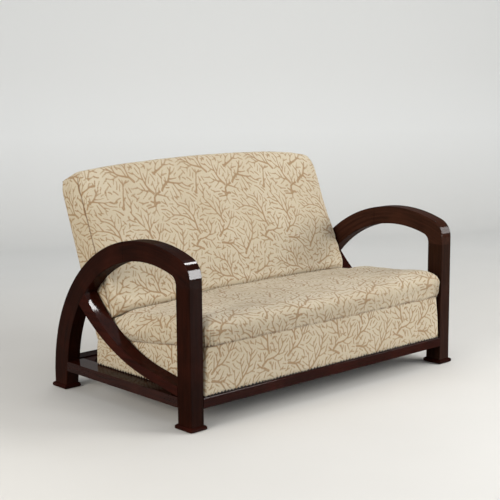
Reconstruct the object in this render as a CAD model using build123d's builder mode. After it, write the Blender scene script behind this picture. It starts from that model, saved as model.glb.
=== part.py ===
from build123d import *
from math import acos, atan2, cos, degrees, hypot, pi, radians, sin, sqrt, tan
import os

# Two-seater sofa with D-shaped bentwood arms and a fixed sprung seat and back.
# X runs across the seat, Y from front to back, Z up from the floor.
# The origin is on the floor, midway between the arms and between the seat's nose and the back's top.
# All sizes are in millimetres.

# Show-wood frame
overall_width = 1450
frame_depth = 865
arm_height = 660
arm_thick = 60
front_leg_depth = 76
rear_leg_foot_depth = 75
rail_bottom = 78
rail_height = 39
side_rail_width = 78
front_rail_depth = 60
back_rail_depth = 66
back_rail_inset = 5
arris_radius = 3

# Arm bows, seen from the side: each edge is an arc that springs from the rear leg and rises to the crest
bow_spring_height = 57
bow_spring_lift = 14
bow_crest_thick = 76
bow_inner_setback = 1
bow_corner_radius = 77
bow_inner_corner_radius = 38
bow_joint_reach = 125
bow_leg_joint_drop = 80

# Curved braces, seen from the side
brace_upper_radius = 676
brace_upper_setback = 137
brace_upper_rise = 38
brace_lower_radius = 845
brace_lower_setback = 159
brace_lower_rise = 3.3
brace_flat_angle = 10

# Feet and glides
foot_height = 16
foot_overhang = 8
foot_top_chamfer = 5
foot_bottom_chamfer = 2
glide_diameter = 24
glide_height = 2

# Dowels and screws
dowel_diameter = 10
dowel_length = 60
dowel_clearance = 0.1
dowel_end_gap = 0.5
dowel_spacing = 19
screw_diameter = 5
screw_head_diameter = 10
screw_head_height = 3
screw_length = 60
foot_screw_length = 40
screw_clearance = 0.1
screw_bore_depth = 30

# Corner blocks and bearers inside the rails
block_leg = 90
block_height = 31
block_screw_reach = 45
block_screw_head = 35
block_screw_stagger = 8
bearer_width = 40
bearer_height = 35
bearer_gap = 5

# Seat frame, webbing and dust cover
seat_frame_side_gap = 22
seat_frame_front = 22
seat_frame_setback = 17
seat_member_width = 45
seat_member_height = 45
web_width = 50
web_thick = 2.5
web_play = 0.05
dust_cover_thick = 1

# Seat springs and edge wire
spring_rows = 3
spring_columns = 4
spring_side_margin = 103
spring_front_margin = 93
spring_rear_margin = 213
spring_end_radius = 42
spring_waist_radius = 30
spring_wire = 4
spring_turns = 4
spring_sides = 10
edge_wire_diameter = 5
edge_wire_inset = 14
edge_wire_corner = 40

# Seat borders, hessian and cover
seat_seam_height = 302
seat_nose = 9
seat_rake = 7
seat_rake_ease = 3
seat_crown = 103
seat_side_run = 121
seat_front_run = 129
seat_side_gap = 4
seat_corner_radius = 25
seat_corner_growth = 55
seat_pad_setback = 65
seat_border_foot_gap = 5
seat_border_seam_gap = 24
seat_border_foot_front = 5
seat_border_seam_front = 10
seat_box_setback = 2
border_thick = 10
border_corner_radius = 20
border_return = 40
hessian_thick = 2
cover_thick = 3
soft_gap = 0.3

# Back frame and cover
back_recline = 20.6
back_foot_setback = 198
back_foot_drop = 60
back_side_gap = 16
back_end_rise = 618
back_middle_rise = 665
back_shoulder_share = 0.566
back_shoulder_drop = 9
back_corner_radius = 14
back_cushion_foot = 60
back_seam_depth = 127
back_seam_angle = 1.5
back_tilt = 1.5
back_crown = 54
back_side_run = 150
back_top_run = 190
back_foot_run = 40
boxing_thick = 10
back_panel_thick = 5
back_member_depth = 45
back_member_width = 45
back_member_play = 4
back_top_rail_foot = 545
back_bottom_rail_foot = 100
back_web_pitch_across = 205
back_web_pitch_up = 130

# Pillow edges of the seat and the back: tucked in at the seam, widest at the belly, then over to the crown
seat_belly_share = 0.5
seat_tuck_share = 0.155
seat_edge_power = 3
seat_ease_power = 1.4
back_belly_share = 0.2
back_tuck_share = 0.03
back_edge_power = 2.5
tuck_power = 1.6
pillow_steps = 7
pillow_samples = 200
pillow_last_angle = 78

# Places shared by several pieces
half_width = overall_width / 2
arm_inner = half_width - arm_thick
arm_middle = half_width - arm_thick / 2
rail_inner = half_width - side_rail_width
seat_frame_half_width = arm_inner - seat_frame_side_gap
seat_half_width = arm_inner - seat_side_gap
seat_border_foot_half_width = arm_inner - seat_border_foot_gap
seat_border_seam_half_width = arm_inner - seat_border_seam_gap
back_half_width = arm_inner - back_side_gap
back_foot_back = frame_depth - back_foot_setback
seat_box_back = back_foot_back - seat_box_setback
seat_frame_back = seat_box_back - seat_frame_setback
seat_pad_back = seat_box_back - seat_pad_setback
back_foot_height = seat_seam_height - back_foot_drop
back_top_rear = back_foot_back + back_middle_rise * sin(radians(back_recline))
front = (seat_nose - back_top_rear) / 2
back = front + frame_depth
leg_bottom = glide_height + foot_height
rail_top = rail_bottom + rail_height
rail_middle = rail_bottom + rail_height / 2
back_rail_front = back - back_rail_inset - back_rail_depth
overrun = 2 * arm_thick
sides = {"left": -1, "right": 1}

os.makedirs("parts", exist_ok=True)


def save(piece, name):
    """Label a finished piece and write it as its own STEP file."""
    piece.label = name
    export_step(piece, f"parts/{name}.step")


# Arm outline: the front leg, the two bows and the rear leg in one sketch, Y across and Z up
bow_outer_height = bow_spring_height
bow_outer_radius = arm_height - bow_outer_height
bow_outer_back = frame_depth - bow_outer_radius
bow_joint_back = bow_outer_back + bow_joint_reach
outer_corner_height = bow_outer_height + sqrt(bow_outer_radius**2 - bow_outer_back**2)
outer_corner_angle = degrees(atan2(outer_corner_height - bow_outer_height, -bow_outer_back))
bow_leg_joint_height = outer_corner_height - bow_leg_joint_drop
with BuildSketch() as arm_outline:
    with BuildLine():
        leg_front = Line((front, leg_bottom), (front, outer_corner_height))
        bow_top = CenterArc(
            (front + bow_outer_back, bow_outer_height), bow_outer_radius, outer_corner_angle, -outer_corner_angle
        )
        leg_rear = Line(bow_top @ 1, (back, leg_bottom))
        Line(leg_rear @ 1, leg_front @ 0)
    make_face()
    fillet(arm_outline.vertices().sort_by(Axis.Y)[-1], bow_corner_radius)

# Arm opening: the rear leg's inner edge leaves the inner bow as a tangent and runs to the floor
bow_inner_back = bow_outer_back - bow_inner_setback
bow_inner_height = bow_spring_height + bow_spring_lift
bow_inner_radius = arm_height - bow_crest_thick - bow_inner_height
rear_leg_inner_foot = frame_depth - rear_leg_foot_depth
inner_reach = hypot(rear_leg_inner_foot - bow_inner_back, bow_inner_height)
inner_end_angle = degrees(
    acos(bow_inner_radius / inner_reach) - atan2(bow_inner_height, rear_leg_inner_foot - bow_inner_back)
)
inner_corner_height = bow_inner_height + sqrt(bow_inner_radius**2 - (front_leg_depth - bow_inner_back) ** 2)
inner_start_angle = degrees(
    atan2(inner_corner_height - bow_inner_height, front_leg_depth - bow_inner_back)
)
with BuildSketch() as arm_opening:
    with BuildLine():
        leg_back = Line((front + front_leg_depth, 0), (front + front_leg_depth, inner_corner_height))
        bow_under = CenterArc(
            (front + bow_inner_back, bow_inner_height),
            bow_inner_radius,
            inner_start_angle,
            inner_end_angle - inner_start_angle,
        )
        leg_inside = Line(bow_under @ 1, (front + rear_leg_inner_foot, 0))
        Line(leg_inside @ 1, leg_back @ 0)
    make_face()
    fillet(arm_opening.vertices().sort_by(Axis.Y)[-1], bow_inner_corner_radius)


def rear_leg_inner(height):
    """Y of the rear leg's straight inner edge at a height."""
    tangent = bow_under @ 1
    return front + rear_leg_inner_foot + (tangent.X - front - rear_leg_inner_foot) * height / tangent.Y


def brace_edge(setback, rise, radius):
    """One curved edge of the brace: a line from the leg that runs on as a tangent arc up to the bow."""
    start = brace_flat_angle - 90
    slope = tan(radians(brace_flat_angle))
    circle_back = bow_outer_back - setback
    flat_length = circle_back + radius * sin(radians(brace_flat_angle)) - front_leg_depth
    circle_height = rail_top + rise + slope * flat_length + radius * cos(radians(brace_flat_angle))
    arc = CenterArc((front + circle_back, circle_height), radius, start, -start)
    line_end = (front + front_leg_depth - overrun, rail_top + rise - slope * overrun)
    return arc, line_end


# Brace outline, clipped by the arm's opening so that it fits the leg and the bow
with BuildSketch() as brace_outline:
    with BuildLine():
        upper, upper_end = brace_edge(brace_upper_setback, brace_upper_rise, brace_upper_radius)
        Line(upper_end, upper @ 0)
        lower, lower_end = brace_edge(brace_lower_setback, brace_lower_rise, brace_lower_radius)
        Line(lower_end, lower @ 0)
        Line(upper_end, lower_end)
        Line(upper @ 1, lower @ 1)
    make_face()
    add(arm_opening.sketch, mode=Mode.INTERSECT)

brace_tip = brace_outline.vertices().sort_by(Axis.X)[-1]
brace_top = brace_outline.vertices().sort_by(Axis.Y)[-1]
brace_end_back = (brace_tip.X + brace_top.X) / 2
brace_end_height = (brace_tip.Y + brace_top.Y) / 2
brace_leg_height = sum(v.Y for v in brace_outline.vertices().sort_by(Axis.X)[:2]) / 2

# Dowels: each is a plane at the middle of its joint, with its normal along the dowel
bow_joint_height = (
    bow_outer_height
    + sqrt(bow_outer_radius**2 - (bow_joint_back - bow_outer_back) ** 2)
    + bow_inner_height
    + sqrt(bow_inner_radius**2 - (bow_joint_back - bow_inner_back) ** 2)
) / 2
dowel_planes = []
for side in sides.values():
    arm_x = side * arm_middle
    for step in (-dowel_spacing / 2, dowel_spacing / 2):
        level = rail_middle + step
        frame_x = side * (seat_frame_half_width - seat_member_width)
        seat_level = rail_top + web_thick + seat_member_height / 2 + step
        dowel_planes += [
            Plane((side * arm_inner, front + front_rail_depth / 2, level), z_dir=(1, 0, 0)),
            Plane((side * arm_inner, back_rail_front + back_rail_depth / 2, level), z_dir=(1, 0, 0)),
            Plane((arm_x, front + front_leg_depth, level), z_dir=(0, 1, 0)),
            Plane((arm_x, rear_leg_inner(level), level), z_dir=(0, 1, 0)),
            Plane((arm_x, front + bow_joint_back, bow_joint_height + step), z_dir=(0, 1, 0)),
            Plane((arm_x, front + front_leg_depth / 2 + step, bow_leg_joint_height), z_dir=(0, 0, 1)),
            Plane((frame_x, front + seat_frame_front + seat_member_width / 2, seat_level), z_dir=(1, 0, 0)),
            Plane((frame_x, front + seat_frame_back - seat_member_width / 2, seat_level), z_dir=(1, 0, 0)),
        ]
    brace_direction = (0, brace_end_back - front - bow_inner_back, brace_end_height - bow_inner_height)
    dowel_planes += [
        Plane((arm_x, front + front_leg_depth, brace_leg_height), z_dir=(0, 1, 0)),
        Plane((arm_x, brace_end_back, brace_end_height), z_dir=brace_direction),
    ]

with BuildPart() as dowels:
    with Locations(*dowel_planes):
        Cylinder(dowel_diameter / 2, dowel_length)
save(dowels.part, "frame_dowels")

with BuildPart() as dowel_holes:
    with Locations(*dowel_planes):
        Cylinder(dowel_diameter / 2 + dowel_clearance, dowel_length + 2 * dowel_end_gap)

# Screws: each is a plane under its head, with its normal pointing the way it is driven
foot_middles = [front + front_leg_depth / 2, back - rear_leg_foot_depth / 2]
foot_screw_planes = []
corner_screw_planes = []
bearer_screw_planes = []
seat_screw_planes = []
bearer_front = front + front_rail_depth + block_leg + bearer_gap
bearer_back = front + seat_frame_back
bearer_length = bearer_back - bearer_front
bearer_shares = (0.08, 0.5, 0.92)
seat_screw_shares = (0.12, 0.8)
front_screw_share = 0.62
for side in sides.values():
    for middle in foot_middles:
        foot_screw_planes.append(
            Plane((side * arm_middle, middle, glide_height + 2 * screw_head_height), z_dir=(0, 0, 1))
        )
    for face, inward in ((front + front_rail_depth, 1), (back_rail_front, -1)):
        corner_screw_planes += [
            Plane(
                (side * (rail_inner - block_screw_reach), face + inward * block_screw_head,
                 rail_middle - block_screw_stagger),
                z_dir=(0, -inward, 0),
            ),
            Plane(
                (side * (rail_inner - block_screw_head), face + inward * block_screw_reach,
                 rail_middle + block_screw_stagger),
                z_dir=(side, 0, 0),
            ),
        ]
    bearer_screw_planes += [
        Plane((side * (rail_inner - bearer_width), bearer_front + share * bearer_length, rail_middle),
              z_dir=(side, 0, 0))
        for share in bearer_shares
    ]
    seat_screw_planes += [
        Plane((side * (rail_inner - bearer_width / 2), bearer_front + share * bearer_length,
               rail_top - bearer_height), z_dir=(0, 0, 1))
        for share in seat_screw_shares
    ]
    seat_screw_planes.append(
        Plane((side * front_screw_share * arm_inner, front + (seat_frame_front + front_rail_depth) / 2,
               rail_middle), z_dir=(0, 0, 1))
    )


def make_screws(planes, length):
    """Round-headed wood screws, with their heads behind the given planes."""
    with BuildPart() as screws:
        with Locations(*planes):
            Cylinder(screw_diameter / 2, length, align=(Align.CENTER, Align.CENTER, Align.MIN))
            Cylinder(
                screw_head_diameter / 2, screw_head_height, align=(Align.CENTER, Align.CENTER, Align.MAX)
            )
    return screws.part


save(make_screws(foot_screw_planes, foot_screw_length), "foot_screws")
save(make_screws(corner_screw_planes, screw_length), "corner_screws")
save(make_screws(bearer_screw_planes, screw_length), "bearer_screws")
save(make_screws(seat_screw_planes, screw_length), "seat_screws")

with BuildPart() as screw_holes:
    for planes, length in (
        (foot_screw_planes, foot_screw_length),
        (corner_screw_planes + bearer_screw_planes + seat_screw_planes, screw_length),
    ):
        with Locations(*planes):
            Cylinder(
                screw_diameter / 2 + screw_clearance,
                length + dowel_end_gap,
                align=(Align.CENTER, Align.CENTER, Align.MIN),
            )
            Cylinder(
                screw_head_diameter / 2 + screw_clearance,
                screw_bore_depth,
                align=(Align.CENTER, Align.CENTER, Align.MAX),
            )


def cut_fixings():
    """Drill the piece being built for every dowel and screw that enters it."""
    add(dowel_holes.part, mode=Mode.SUBTRACT)
    add(screw_holes.part, mode=Mode.SUBTRACT)


def make_arm_piece(side, low, high):
    """The part of the arm ring between two corners of a Y and Z window, with eased long edges."""
    with BuildPart() as piece:
        with BuildSketch(Plane.YZ.offset(side * half_width)):
            add(arm_outline.sketch)
            add(arm_opening.sketch, mode=Mode.SUBTRACT)
            with Locations(low):
                Rectangle(
                    high[0] - low[0], high[1] - low[1], align=(Align.MIN, Align.MIN), mode=Mode.INTERSECT
                )
        extrude(amount=-side * arm_thick)
        cheeks = piece.faces().sort_by(Axis.X)
        rims = ShapeList(cheeks[0].edges() + cheeks[-1].edges())
        joints = (low[1], leg_bottom, high[1])
        long_rims = rims.filter_by(
            lambda e: all(abs(e.center().Z - z) > arris_radius for z in joints)
            and abs(e.center().Y - front - bow_joint_back) > arris_radius
        )
        fillet(long_rims, arris_radius)
        cut_fixings()
    return piece.part


for side_name, side in sides.items():
    save(
        make_arm_piece(side, (front, 0), (front + front_leg_depth, bow_leg_joint_height)),
        f"{side_name}_front_leg",
    )
    save(
        make_arm_piece(side, (front, bow_leg_joint_height), (front + bow_joint_back, arm_height)),
        f"{side_name}_arm_front_bow",
    )
    save(
        make_arm_piece(side, (front + bow_joint_back, 0), (back, arm_height)),
        f"{side_name}_arm_rear_bow",
    )

    with BuildPart() as brace:
        with BuildSketch(Plane.YZ.offset(side * half_width)):
            add(brace_outline.sketch)
        extrude(amount=-side * arm_thick)
        cut_fixings()
    save(brace.part, f"{side_name}_brace")

    # Side rail between the legs: its end follows the slope of the rear leg
    with BuildPart() as side_rail:
        with BuildSketch(Plane.YZ.offset(side * half_width)):
            add(arm_opening.sketch)
            with Locations((front, rail_bottom)):
                Rectangle(frame_depth, rail_height, align=(Align.MIN, Align.MIN), mode=Mode.INTERSECT)
        extrude(amount=-side * side_rail_width)
        cut_fixings()
    save(side_rail.part, f"{side_name}_side_rail")

    with BuildPart() as bearer:
        with Locations((side * (rail_inner - bearer_width / 2), bearer_front, rail_top)):
            Box(
                bearer_width,
                bearer_length,
                bearer_height,
                align=(Align.CENTER, Align.MIN, Align.MAX),
            )
        cut_fixings()
    save(bearer.part, f"{side_name}_bearer")

    for end_name, middle, depth in (
        ("front", foot_middles[0], front_leg_depth),
        ("rear", foot_middles[1], rear_leg_foot_depth),
    ):
        with BuildPart() as foot:
            with BuildSketch(Plane.XY.offset(glide_height)):
                with Locations((side * arm_middle, middle)):
                    Rectangle(arm_thick + 2 * foot_overhang, depth + 2 * foot_overhang)
            extrude(amount=foot_height)
            chamfer(foot.faces().sort_by(Axis.Z)[-1].edges(), foot_top_chamfer)
            chamfer(foot.faces().sort_by(Axis.Z)[0].edges(), foot_bottom_chamfer)
            cut_fixings()
        save(foot.part, f"{side_name}_{end_name}_foot")

with BuildPart() as glides:
    for side in sides.values():
        for middle in foot_middles:
            with BuildSketch():
                with Locations((side * arm_middle, middle)):
                    Circle(glide_diameter / 2)
            extrude(amount=glide_height)
save(glides.part, "floor_glides")

# Front and back rails, flush with the inner faces of the arms
for rail_name, rail_front, rail_depth in (
    ("front_rail", front, front_rail_depth),
    ("back_rail", back_rail_front, back_rail_depth),
):
    with BuildPart() as rail:
        with Locations((0, rail_front, rail_bottom)):
            Box(
                2 * arm_inner, rail_depth, rail_height, align=(Align.CENTER, Align.MIN, Align.MIN)
            )
        outer = rail.edges().filter_by(Axis.X).group_by(Axis.Y)[0 if rail_front == front else -1]
        fillet(outer, arris_radius)
        cut_fixings()
    save(rail.part, rail_name)

# Corner blocks: triangles of wood glued and screwed inside the rails
with BuildPart() as blocks:
    for side in sides.values():
        for face, inward in ((front + front_rail_depth, 1), (back_rail_front, -1)):
            with BuildSketch(Plane.XY.offset(rail_middle - block_height / 2)):
                with BuildLine():
                    Polyline(
                        (side * rail_inner, face),
                        (side * (rail_inner - block_leg), face),
                        (side * rail_inner, face + inward * block_leg),
                        close=True,
                    )
                make_face()
            extrude(amount=block_height)
    cut_fixings()
save(blocks.part, "corner_blocks")

# Seat frame: four timbers doweled into a box that stands on the front rail and the bearers
seat_frame_bottom = rail_top + web_thick
seat_frame_top = seat_frame_bottom + seat_member_height
seat_frame_inner = seat_frame_half_width - seat_member_width
for member_name, member_front in (
    ("seat_frame_front", front + seat_frame_front),
    ("seat_frame_rear", front + seat_frame_back - seat_member_width),
):
    with BuildPart() as member:
        with Locations((0, member_front, seat_frame_bottom)):
            Box(
                2 * seat_frame_inner,
                seat_member_width,
                seat_member_height,
                align=(Align.CENTER, Align.MIN, Align.MIN),
            )
        cut_fixings()
    save(member.part, member_name)

for side_name, side in sides.items():
    with BuildPart() as member:
        with Locations(
            (side * (seat_frame_inner + seat_member_width / 2), front + seat_frame_front, seat_frame_bottom)
        ):
            Box(
                seat_member_width,
                seat_frame_back - seat_frame_front,
                seat_member_height,
                align=(Align.CENTER, Align.MIN, Align.MIN),
            )
        cut_fixings()
    save(member.part, f"seat_frame_{side_name}")

# Webbing: straps of jute that pass over and under each other, half a thickness each way
weave = web_thick / 2 + web_play


def make_strap(plane, start, end, grip, crossings, phase):
    """A strap in a plane whose x runs along it: gripped flat at its ends, over and under between."""
    path = [(start, 0), (start + grip, 0)]
    for index, crossing in enumerate(crossings):
        lift = weave if (index + phase) % 2 == 0 else -weave
        path += [(crossing - web_width / 2, lift), (crossing + web_width / 2, lift)]
    path += [(end - grip, 0), (end, 0)]
    with BuildPart() as strap:
        with BuildSketch(plane):
            with BuildLine():
                Polyline(
                    *[(along, rise - web_thick / 2) for along, rise in path],
                    *[(along, rise + web_thick / 2) for along, rise in reversed(path)],
                    close=True,
                )
            make_face()
        extrude(amount=web_width / 2, both=True)
    return strap.part


spring_room = seat_frame_back - seat_frame_front - spring_front_margin - spring_rear_margin
spring_pitch_back = spring_room / (spring_rows - 1)
spring_pitch_across = 2 * (seat_frame_inner - spring_side_margin) / (spring_columns - 1)
seat_web_pitch = spring_pitch_across / 2
seat_web_rows = [
    front + seat_frame_front + spring_front_margin + row * spring_pitch_back for row in range(spring_rows)
]
seat_web_columns = [
    (column - (2 * spring_columns - 2) / 2) * seat_web_pitch for column in range(2 * spring_columns - 1)
]
seat_web_half = seat_frame_half_width
seat_web_front = front + seat_frame_front
seat_web_back = front + seat_frame_back
seat_web_level = rail_top + web_thick / 2
with BuildPart() as seat_webbing:
    for index, row in enumerate(seat_web_rows):
        plane = Plane((0, row, seat_web_level), x_dir=(1, 0, 0), z_dir=(0, -1, 0))
        add(make_strap(plane, -seat_web_half, seat_web_half, seat_member_width, seat_web_columns, index))
    for index, column in enumerate(seat_web_columns):
        plane = Plane((column, 0, seat_web_level), x_dir=(0, 1, 0), z_dir=(1, 0, 0))
        add(make_strap(plane, seat_web_front, seat_web_back, seat_member_width, seat_web_rows, index + 1))
save(seat_webbing.part, "seat_webbing")

dust_cover_top = seat_web_level - weave - web_thick / 2
with BuildPart() as dust_cover:
    with Locations((0, front + front_rail_depth, dust_cover_top)):
        Box(
            2 * (rail_inner - bearer_width),
            seat_frame_back - front_rail_depth,
            dust_cover_thick,
            align=(Align.CENTER, Align.MIN, Align.MAX),
        )
save(dust_cover.part, "dust_cover")


def seat_section_plane(crown_share):
    """A cross plane of the seat cover at its nose, sloping down to the back."""
    rake = radians(seat_rake - seat_rake_ease * crown_share**seat_ease_power)
    return Plane(
        (0, front - seat_nose, seat_seam_height + seat_crown * crown_share),
        x_dir=(1, 0, 0),
        z_dir=(0, sin(rake), cos(rake)),
    )


seat_seam = seat_section_plane(0)


def seam_height(y):
    """Height of the seat's seam plane at a Y."""
    return seat_seam_height - tan(radians(seat_rake)) * (y - front + seat_nose)


# Springs: waisted coils from the webbing up to the sloping hessian
spring_base = seat_web_level + weave + web_thick / 2 + spring_wire / 2
spring_lid = hessian_thick + spring_wire / 2 + soft_gap


def spring_point(y, share):
    """Centre of the wire at a share of the spring's length: a helix that narrows at its waist."""
    turn = 2 * pi * spring_turns * share
    waist = 1 - (2 * share - 1) ** 2
    radius = spring_end_radius - (spring_end_radius - spring_waist_radius) * waist
    point_y = y + radius * sin(turn)
    lid = seam_height(point_y) - spring_lid / cos(radians(seat_rake))
    return Vector(radius * cos(turn), point_y, spring_base + (lid - spring_base) * share)


spring_steps = spring_turns * spring_sides
springs = []
for row in seat_web_rows:
    points = [spring_point(row, step / spring_steps) for step in range(spring_steps + 1)]
    with BuildPart() as spring:
        for step, point in enumerate(points):
            before = points[max(step - 1, 0)]
            after = points[min(step + 1, spring_steps)]
            outward = Vector(point.X, point.Y - row, 0)
            with BuildSketch(Plane(point, x_dir=outward, z_dir=after - before)):
                Rectangle(spring_wire, spring_wire)
        loft(ruled=True)
    for column in range(spring_columns):
        x = (column - (spring_columns - 1) / 2) * spring_pitch_across
        springs.append(spring.solid().moved(Location((x, 0, 0))))
save(Compound(springs), "seat_springs")

# Edge wire: a ring under the rim of the hessian, tied to the outer springs
with BuildPart() as edge_wire:
    wire_plane = seat_seam.offset(-hessian_thick - edge_wire_diameter / 2)
    wire_half = seat_border_seam_half_width - border_thick - edge_wire_inset
    wire_front = seat_nose + seat_border_seam_front + border_thick + edge_wire_inset
    wire_back = seat_nose + seat_pad_back - edge_wire_corner
    with BuildLine(wire_plane) as ring:
        corners = (
            (-wire_half, wire_front),
            (wire_half, wire_front),
            (wire_half, wire_back),
            (-wire_half, wire_back),
        )
        FilletPolyline(*corners, radius=edge_wire_corner, close=True)
    start = ring.edges().sort_by(Axis.X)[0]
    with BuildSketch(Plane(start @ 0.5, z_dir=start % 0.5)):
        Circle(edge_wire_diameter / 2)
    sweep()
save(edge_wire.part, "seat_edge_wire")

with BuildPart() as hessian:
    with BuildSketch(seat_seam) as hessian_sheet:
        with Locations((0, seat_nose + seat_border_seam_front + border_thick + hessian_thick)):
            Rectangle(
                2 * (seat_border_seam_half_width - border_thick - hessian_thick),
                seat_pad_back - seat_border_seam_front - border_thick - 2 * hessian_thick,
                align=(Align.CENTER, Align.MIN),
            )
        fillet(hessian_sheet.vertices(), border_corner_radius - border_thick)
    extrude(amount=-hessian_thick)
save(hessian.part, "seat_hessian")


def make_border_box(inset):
    """The upright fabric box round the springs, drawn in towards the seam, as a solid."""
    seam_rise = seat_seam_height - rail_top
    lean = (seat_border_foot_half_width - seat_border_seam_half_width) / seam_rise
    front_lean = (seat_border_seam_front - seat_border_foot_front) / seam_rise
    with BuildPart() as box:
        for rise in (0, seam_rise + overrun):
            half = seat_border_foot_half_width - lean * rise - inset
            low = seat_border_foot_front + front_lean * rise + inset
            with BuildSketch(Plane.XY.offset(rail_top + rise)):
                with Locations((0, front + low)):
                    Rectangle(2 * half, seat_box_back - inset - low, align=(Align.CENTER, Align.MIN))
                fillet(vertices(), border_corner_radius - inset)
        loft(ruled=True)
        split(bisect_by=seat_seam, keep=Keep.BOTTOM)
    return box.part


border_outer = make_border_box(0)
border_inner = make_border_box(border_thick)
side_span = seat_box_back - 2 * border_return
for border_name, window_x, window_y, width, depth in (
    ("front_border", 0, front - overrun, 2 * half_width, overrun + border_return),
    ("rear_border", 0, front + border_return + side_span, 2 * half_width, overrun + border_return),
    ("left_border", -half_width / 2, front + border_return, half_width, side_span),
    ("right_border", half_width / 2, front + border_return, half_width, side_span),
):
    with BuildPart() as border:
        add(border_outer)
        add(border_inner, mode=Mode.SUBTRACT)
        with Locations((window_x, window_y, 0)):
            Box(
                width,
                depth,
                arm_height,
                align=(Align.CENTER, Align.MIN, Align.MIN),
                mode=Mode.INTERSECT,
            )
    save(border.part, border_name)


def pillow_profile(belly_share, tuck_share, power, run, crown):
    """Evenly spaced places up a pillow's edge from seam to crown, as shares of its crown and its run."""
    path = []
    for step in range(pillow_samples):
        share = step / pillow_samples
        path.append((belly_share * share, tuck_share * (1 - share) ** tuck_power))
    for step in range(pillow_samples + 1):
        angle = radians(pillow_last_angle) * step / pillow_samples
        rise_share = belly_share + (1 - belly_share) * sin(angle) ** (2 / power)
        path.append((rise_share, 1 - cos(angle) ** (2 / power)))
    lengths = [0]
    for lower, upper in zip(path, path[1:]):
        lengths.append(lengths[-1] + hypot((upper[0] - lower[0]) * crown, (upper[1] - lower[1]) * run))
    places = []
    for step in range(pillow_steps + 1):
        goal = lengths[-1] * step / pillow_steps
        nearest = min(range(len(path)), key=lambda index: abs(lengths[index] - goal))
        places.append(path[nearest])
    return places


# Back geometry: rise runs up the slope of the back, reach runs out of it towards the sitter
recline = radians(back_recline)
rise_dir = Vector(0, sin(recline), cos(recline))
reach_dir = Vector(0, -cos(recline), sin(recline))
back_origin = Vector(0, front + back_foot_back, back_foot_height)


def back_point_at(x, rise, reach):
    """A place on the back, given across it, up its slope and out of it."""
    return back_origin + Vector(x, 0, 0) + rise_dir * rise + reach_dir * reach


def back_point(rise, reach):
    """Y and Z of a place on the back, given up its slope and out of it."""
    place = back_point_at(0, rise, reach)
    return place.Y, place.Z


def rise_at(height, reach):
    """How far up the back's slope a height lies, at a reach out of it."""
    return (height - back_foot_height - reach * sin(recline)) / cos(recline)


def back_section_plane(reach, angle):
    """A cross plane of the back at the foot of its cushion, tipped back from its rear face."""
    tip = radians(angle)
    return Plane(
        back_point_at(0, back_cushion_foot, reach),
        x_dir=(1, 0, 0),
        z_dir=reach_dir * cos(tip) + rise_dir * sin(tip),
    )


def back_outline(side_in, top_in, foot_in, corner):
    """The back seen square on: upright sides and a top in three tangent arcs."""
    half = back_half_width - side_in
    shoulder = back_shoulder_share * half
    end_rise = back_end_rise - back_cushion_foot - top_in
    middle_rise = back_middle_rise - back_cushion_foot - top_in
    shoulder_rise = middle_rise - back_shoulder_drop
    with BuildSketch() as outline:
        with BuildLine():
            middle = ThreePointArc((-shoulder, shoulder_rise), (0, middle_rise), (shoulder, shoulder_rise))
            right = TangentArc(middle @ 1, (half, end_rise), tangent=middle % 1)
            left = TangentArc(middle @ 0, (-half, end_rise), tangent=-(middle % 0))
            Polyline(left @ 1, (-half, foot_in), (half, foot_in), right @ 1)
        make_face()
        tips = outline.vertices().group_by(Axis.X)
        fillet(tips[0] + tips[-1], corner)
    return outline.sketch


def make_back_cushion(inset):
    """The crowned front of the back, from its seam to its crown, drawn in by an inset all round."""
    with BuildPart() as cushion:
        for crown, inward in pillow_profile(
            back_belly_share, back_tuck_share, back_edge_power, back_side_run, back_crown
        ):
            reach = back_seam_depth + (back_crown - inset) * crown
            with BuildSketch(back_section_plane(reach, back_seam_angle + back_tilt * crown)):
                add(
                    back_outline(
                        inset + back_side_run * inward,
                        inset + back_top_run * inward,
                        inset + back_foot_run * inward,
                        back_corner_radius * (1 + crown),
                    )
                )
        loft()
    return cushion.part


def make_seat_cushion(inset):
    """The crowned top of the seat, from its seam to its crown, drawn in by an inset all round."""
    with BuildPart() as cushion:
        for crown, inward in pillow_profile(
            seat_belly_share, seat_tuck_share, seat_edge_power, seat_front_run, seat_crown
        ):
            with BuildSketch(seat_section_plane(crown * (1 - inset / seat_crown))):
                low = seat_front_run * inward + inset
                with Locations((0, low)):
                    Rectangle(
                        2 * (seat_half_width - seat_side_run * inward - inset),
                        seat_nose + seat_pad_back + overrun - low,
                        align=(Align.CENTER, Align.MIN),
                    )
                fillet(vertices(), seat_corner_radius + seat_corner_growth * crown - inset)
        loft()
        with Locations((0, front + seat_pad_back, 0)):
            Box(
                2 * half_width,
                2 * overrun,
                2 * arm_height,
                align=(Align.CENTER, Align.MIN, Align.CENTER),
                mode=Mode.SUBTRACT,
            )
        crown_reach = back_seam_depth + back_crown + soft_gap
        seat_foot = back_cushion_foot - soft_gap
        with BuildSketch(Plane.YZ):
            with BuildLine():
                Polyline(
                    back_point(seat_foot, -overrun),
                    back_point(seat_foot, crown_reach),
                    back_point(back_end_rise, crown_reach),
                    back_point(back_end_rise, -overrun),
                    close=True,
                )
            make_face()
        extrude(amount=half_width, both=True, mode=Mode.SUBTRACT)
    return cushion.part


seat_form = make_seat_cushion(0)
seat_lining = make_seat_cushion(cover_thick)
with BuildPart() as seat_cover:
    add(seat_form)
    add(seat_lining, mode=Mode.SUBTRACT)
save(seat_cover.part, "seat_cover")
save(make_seat_cushion(cover_thick + soft_gap), "seat_padding")

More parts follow.
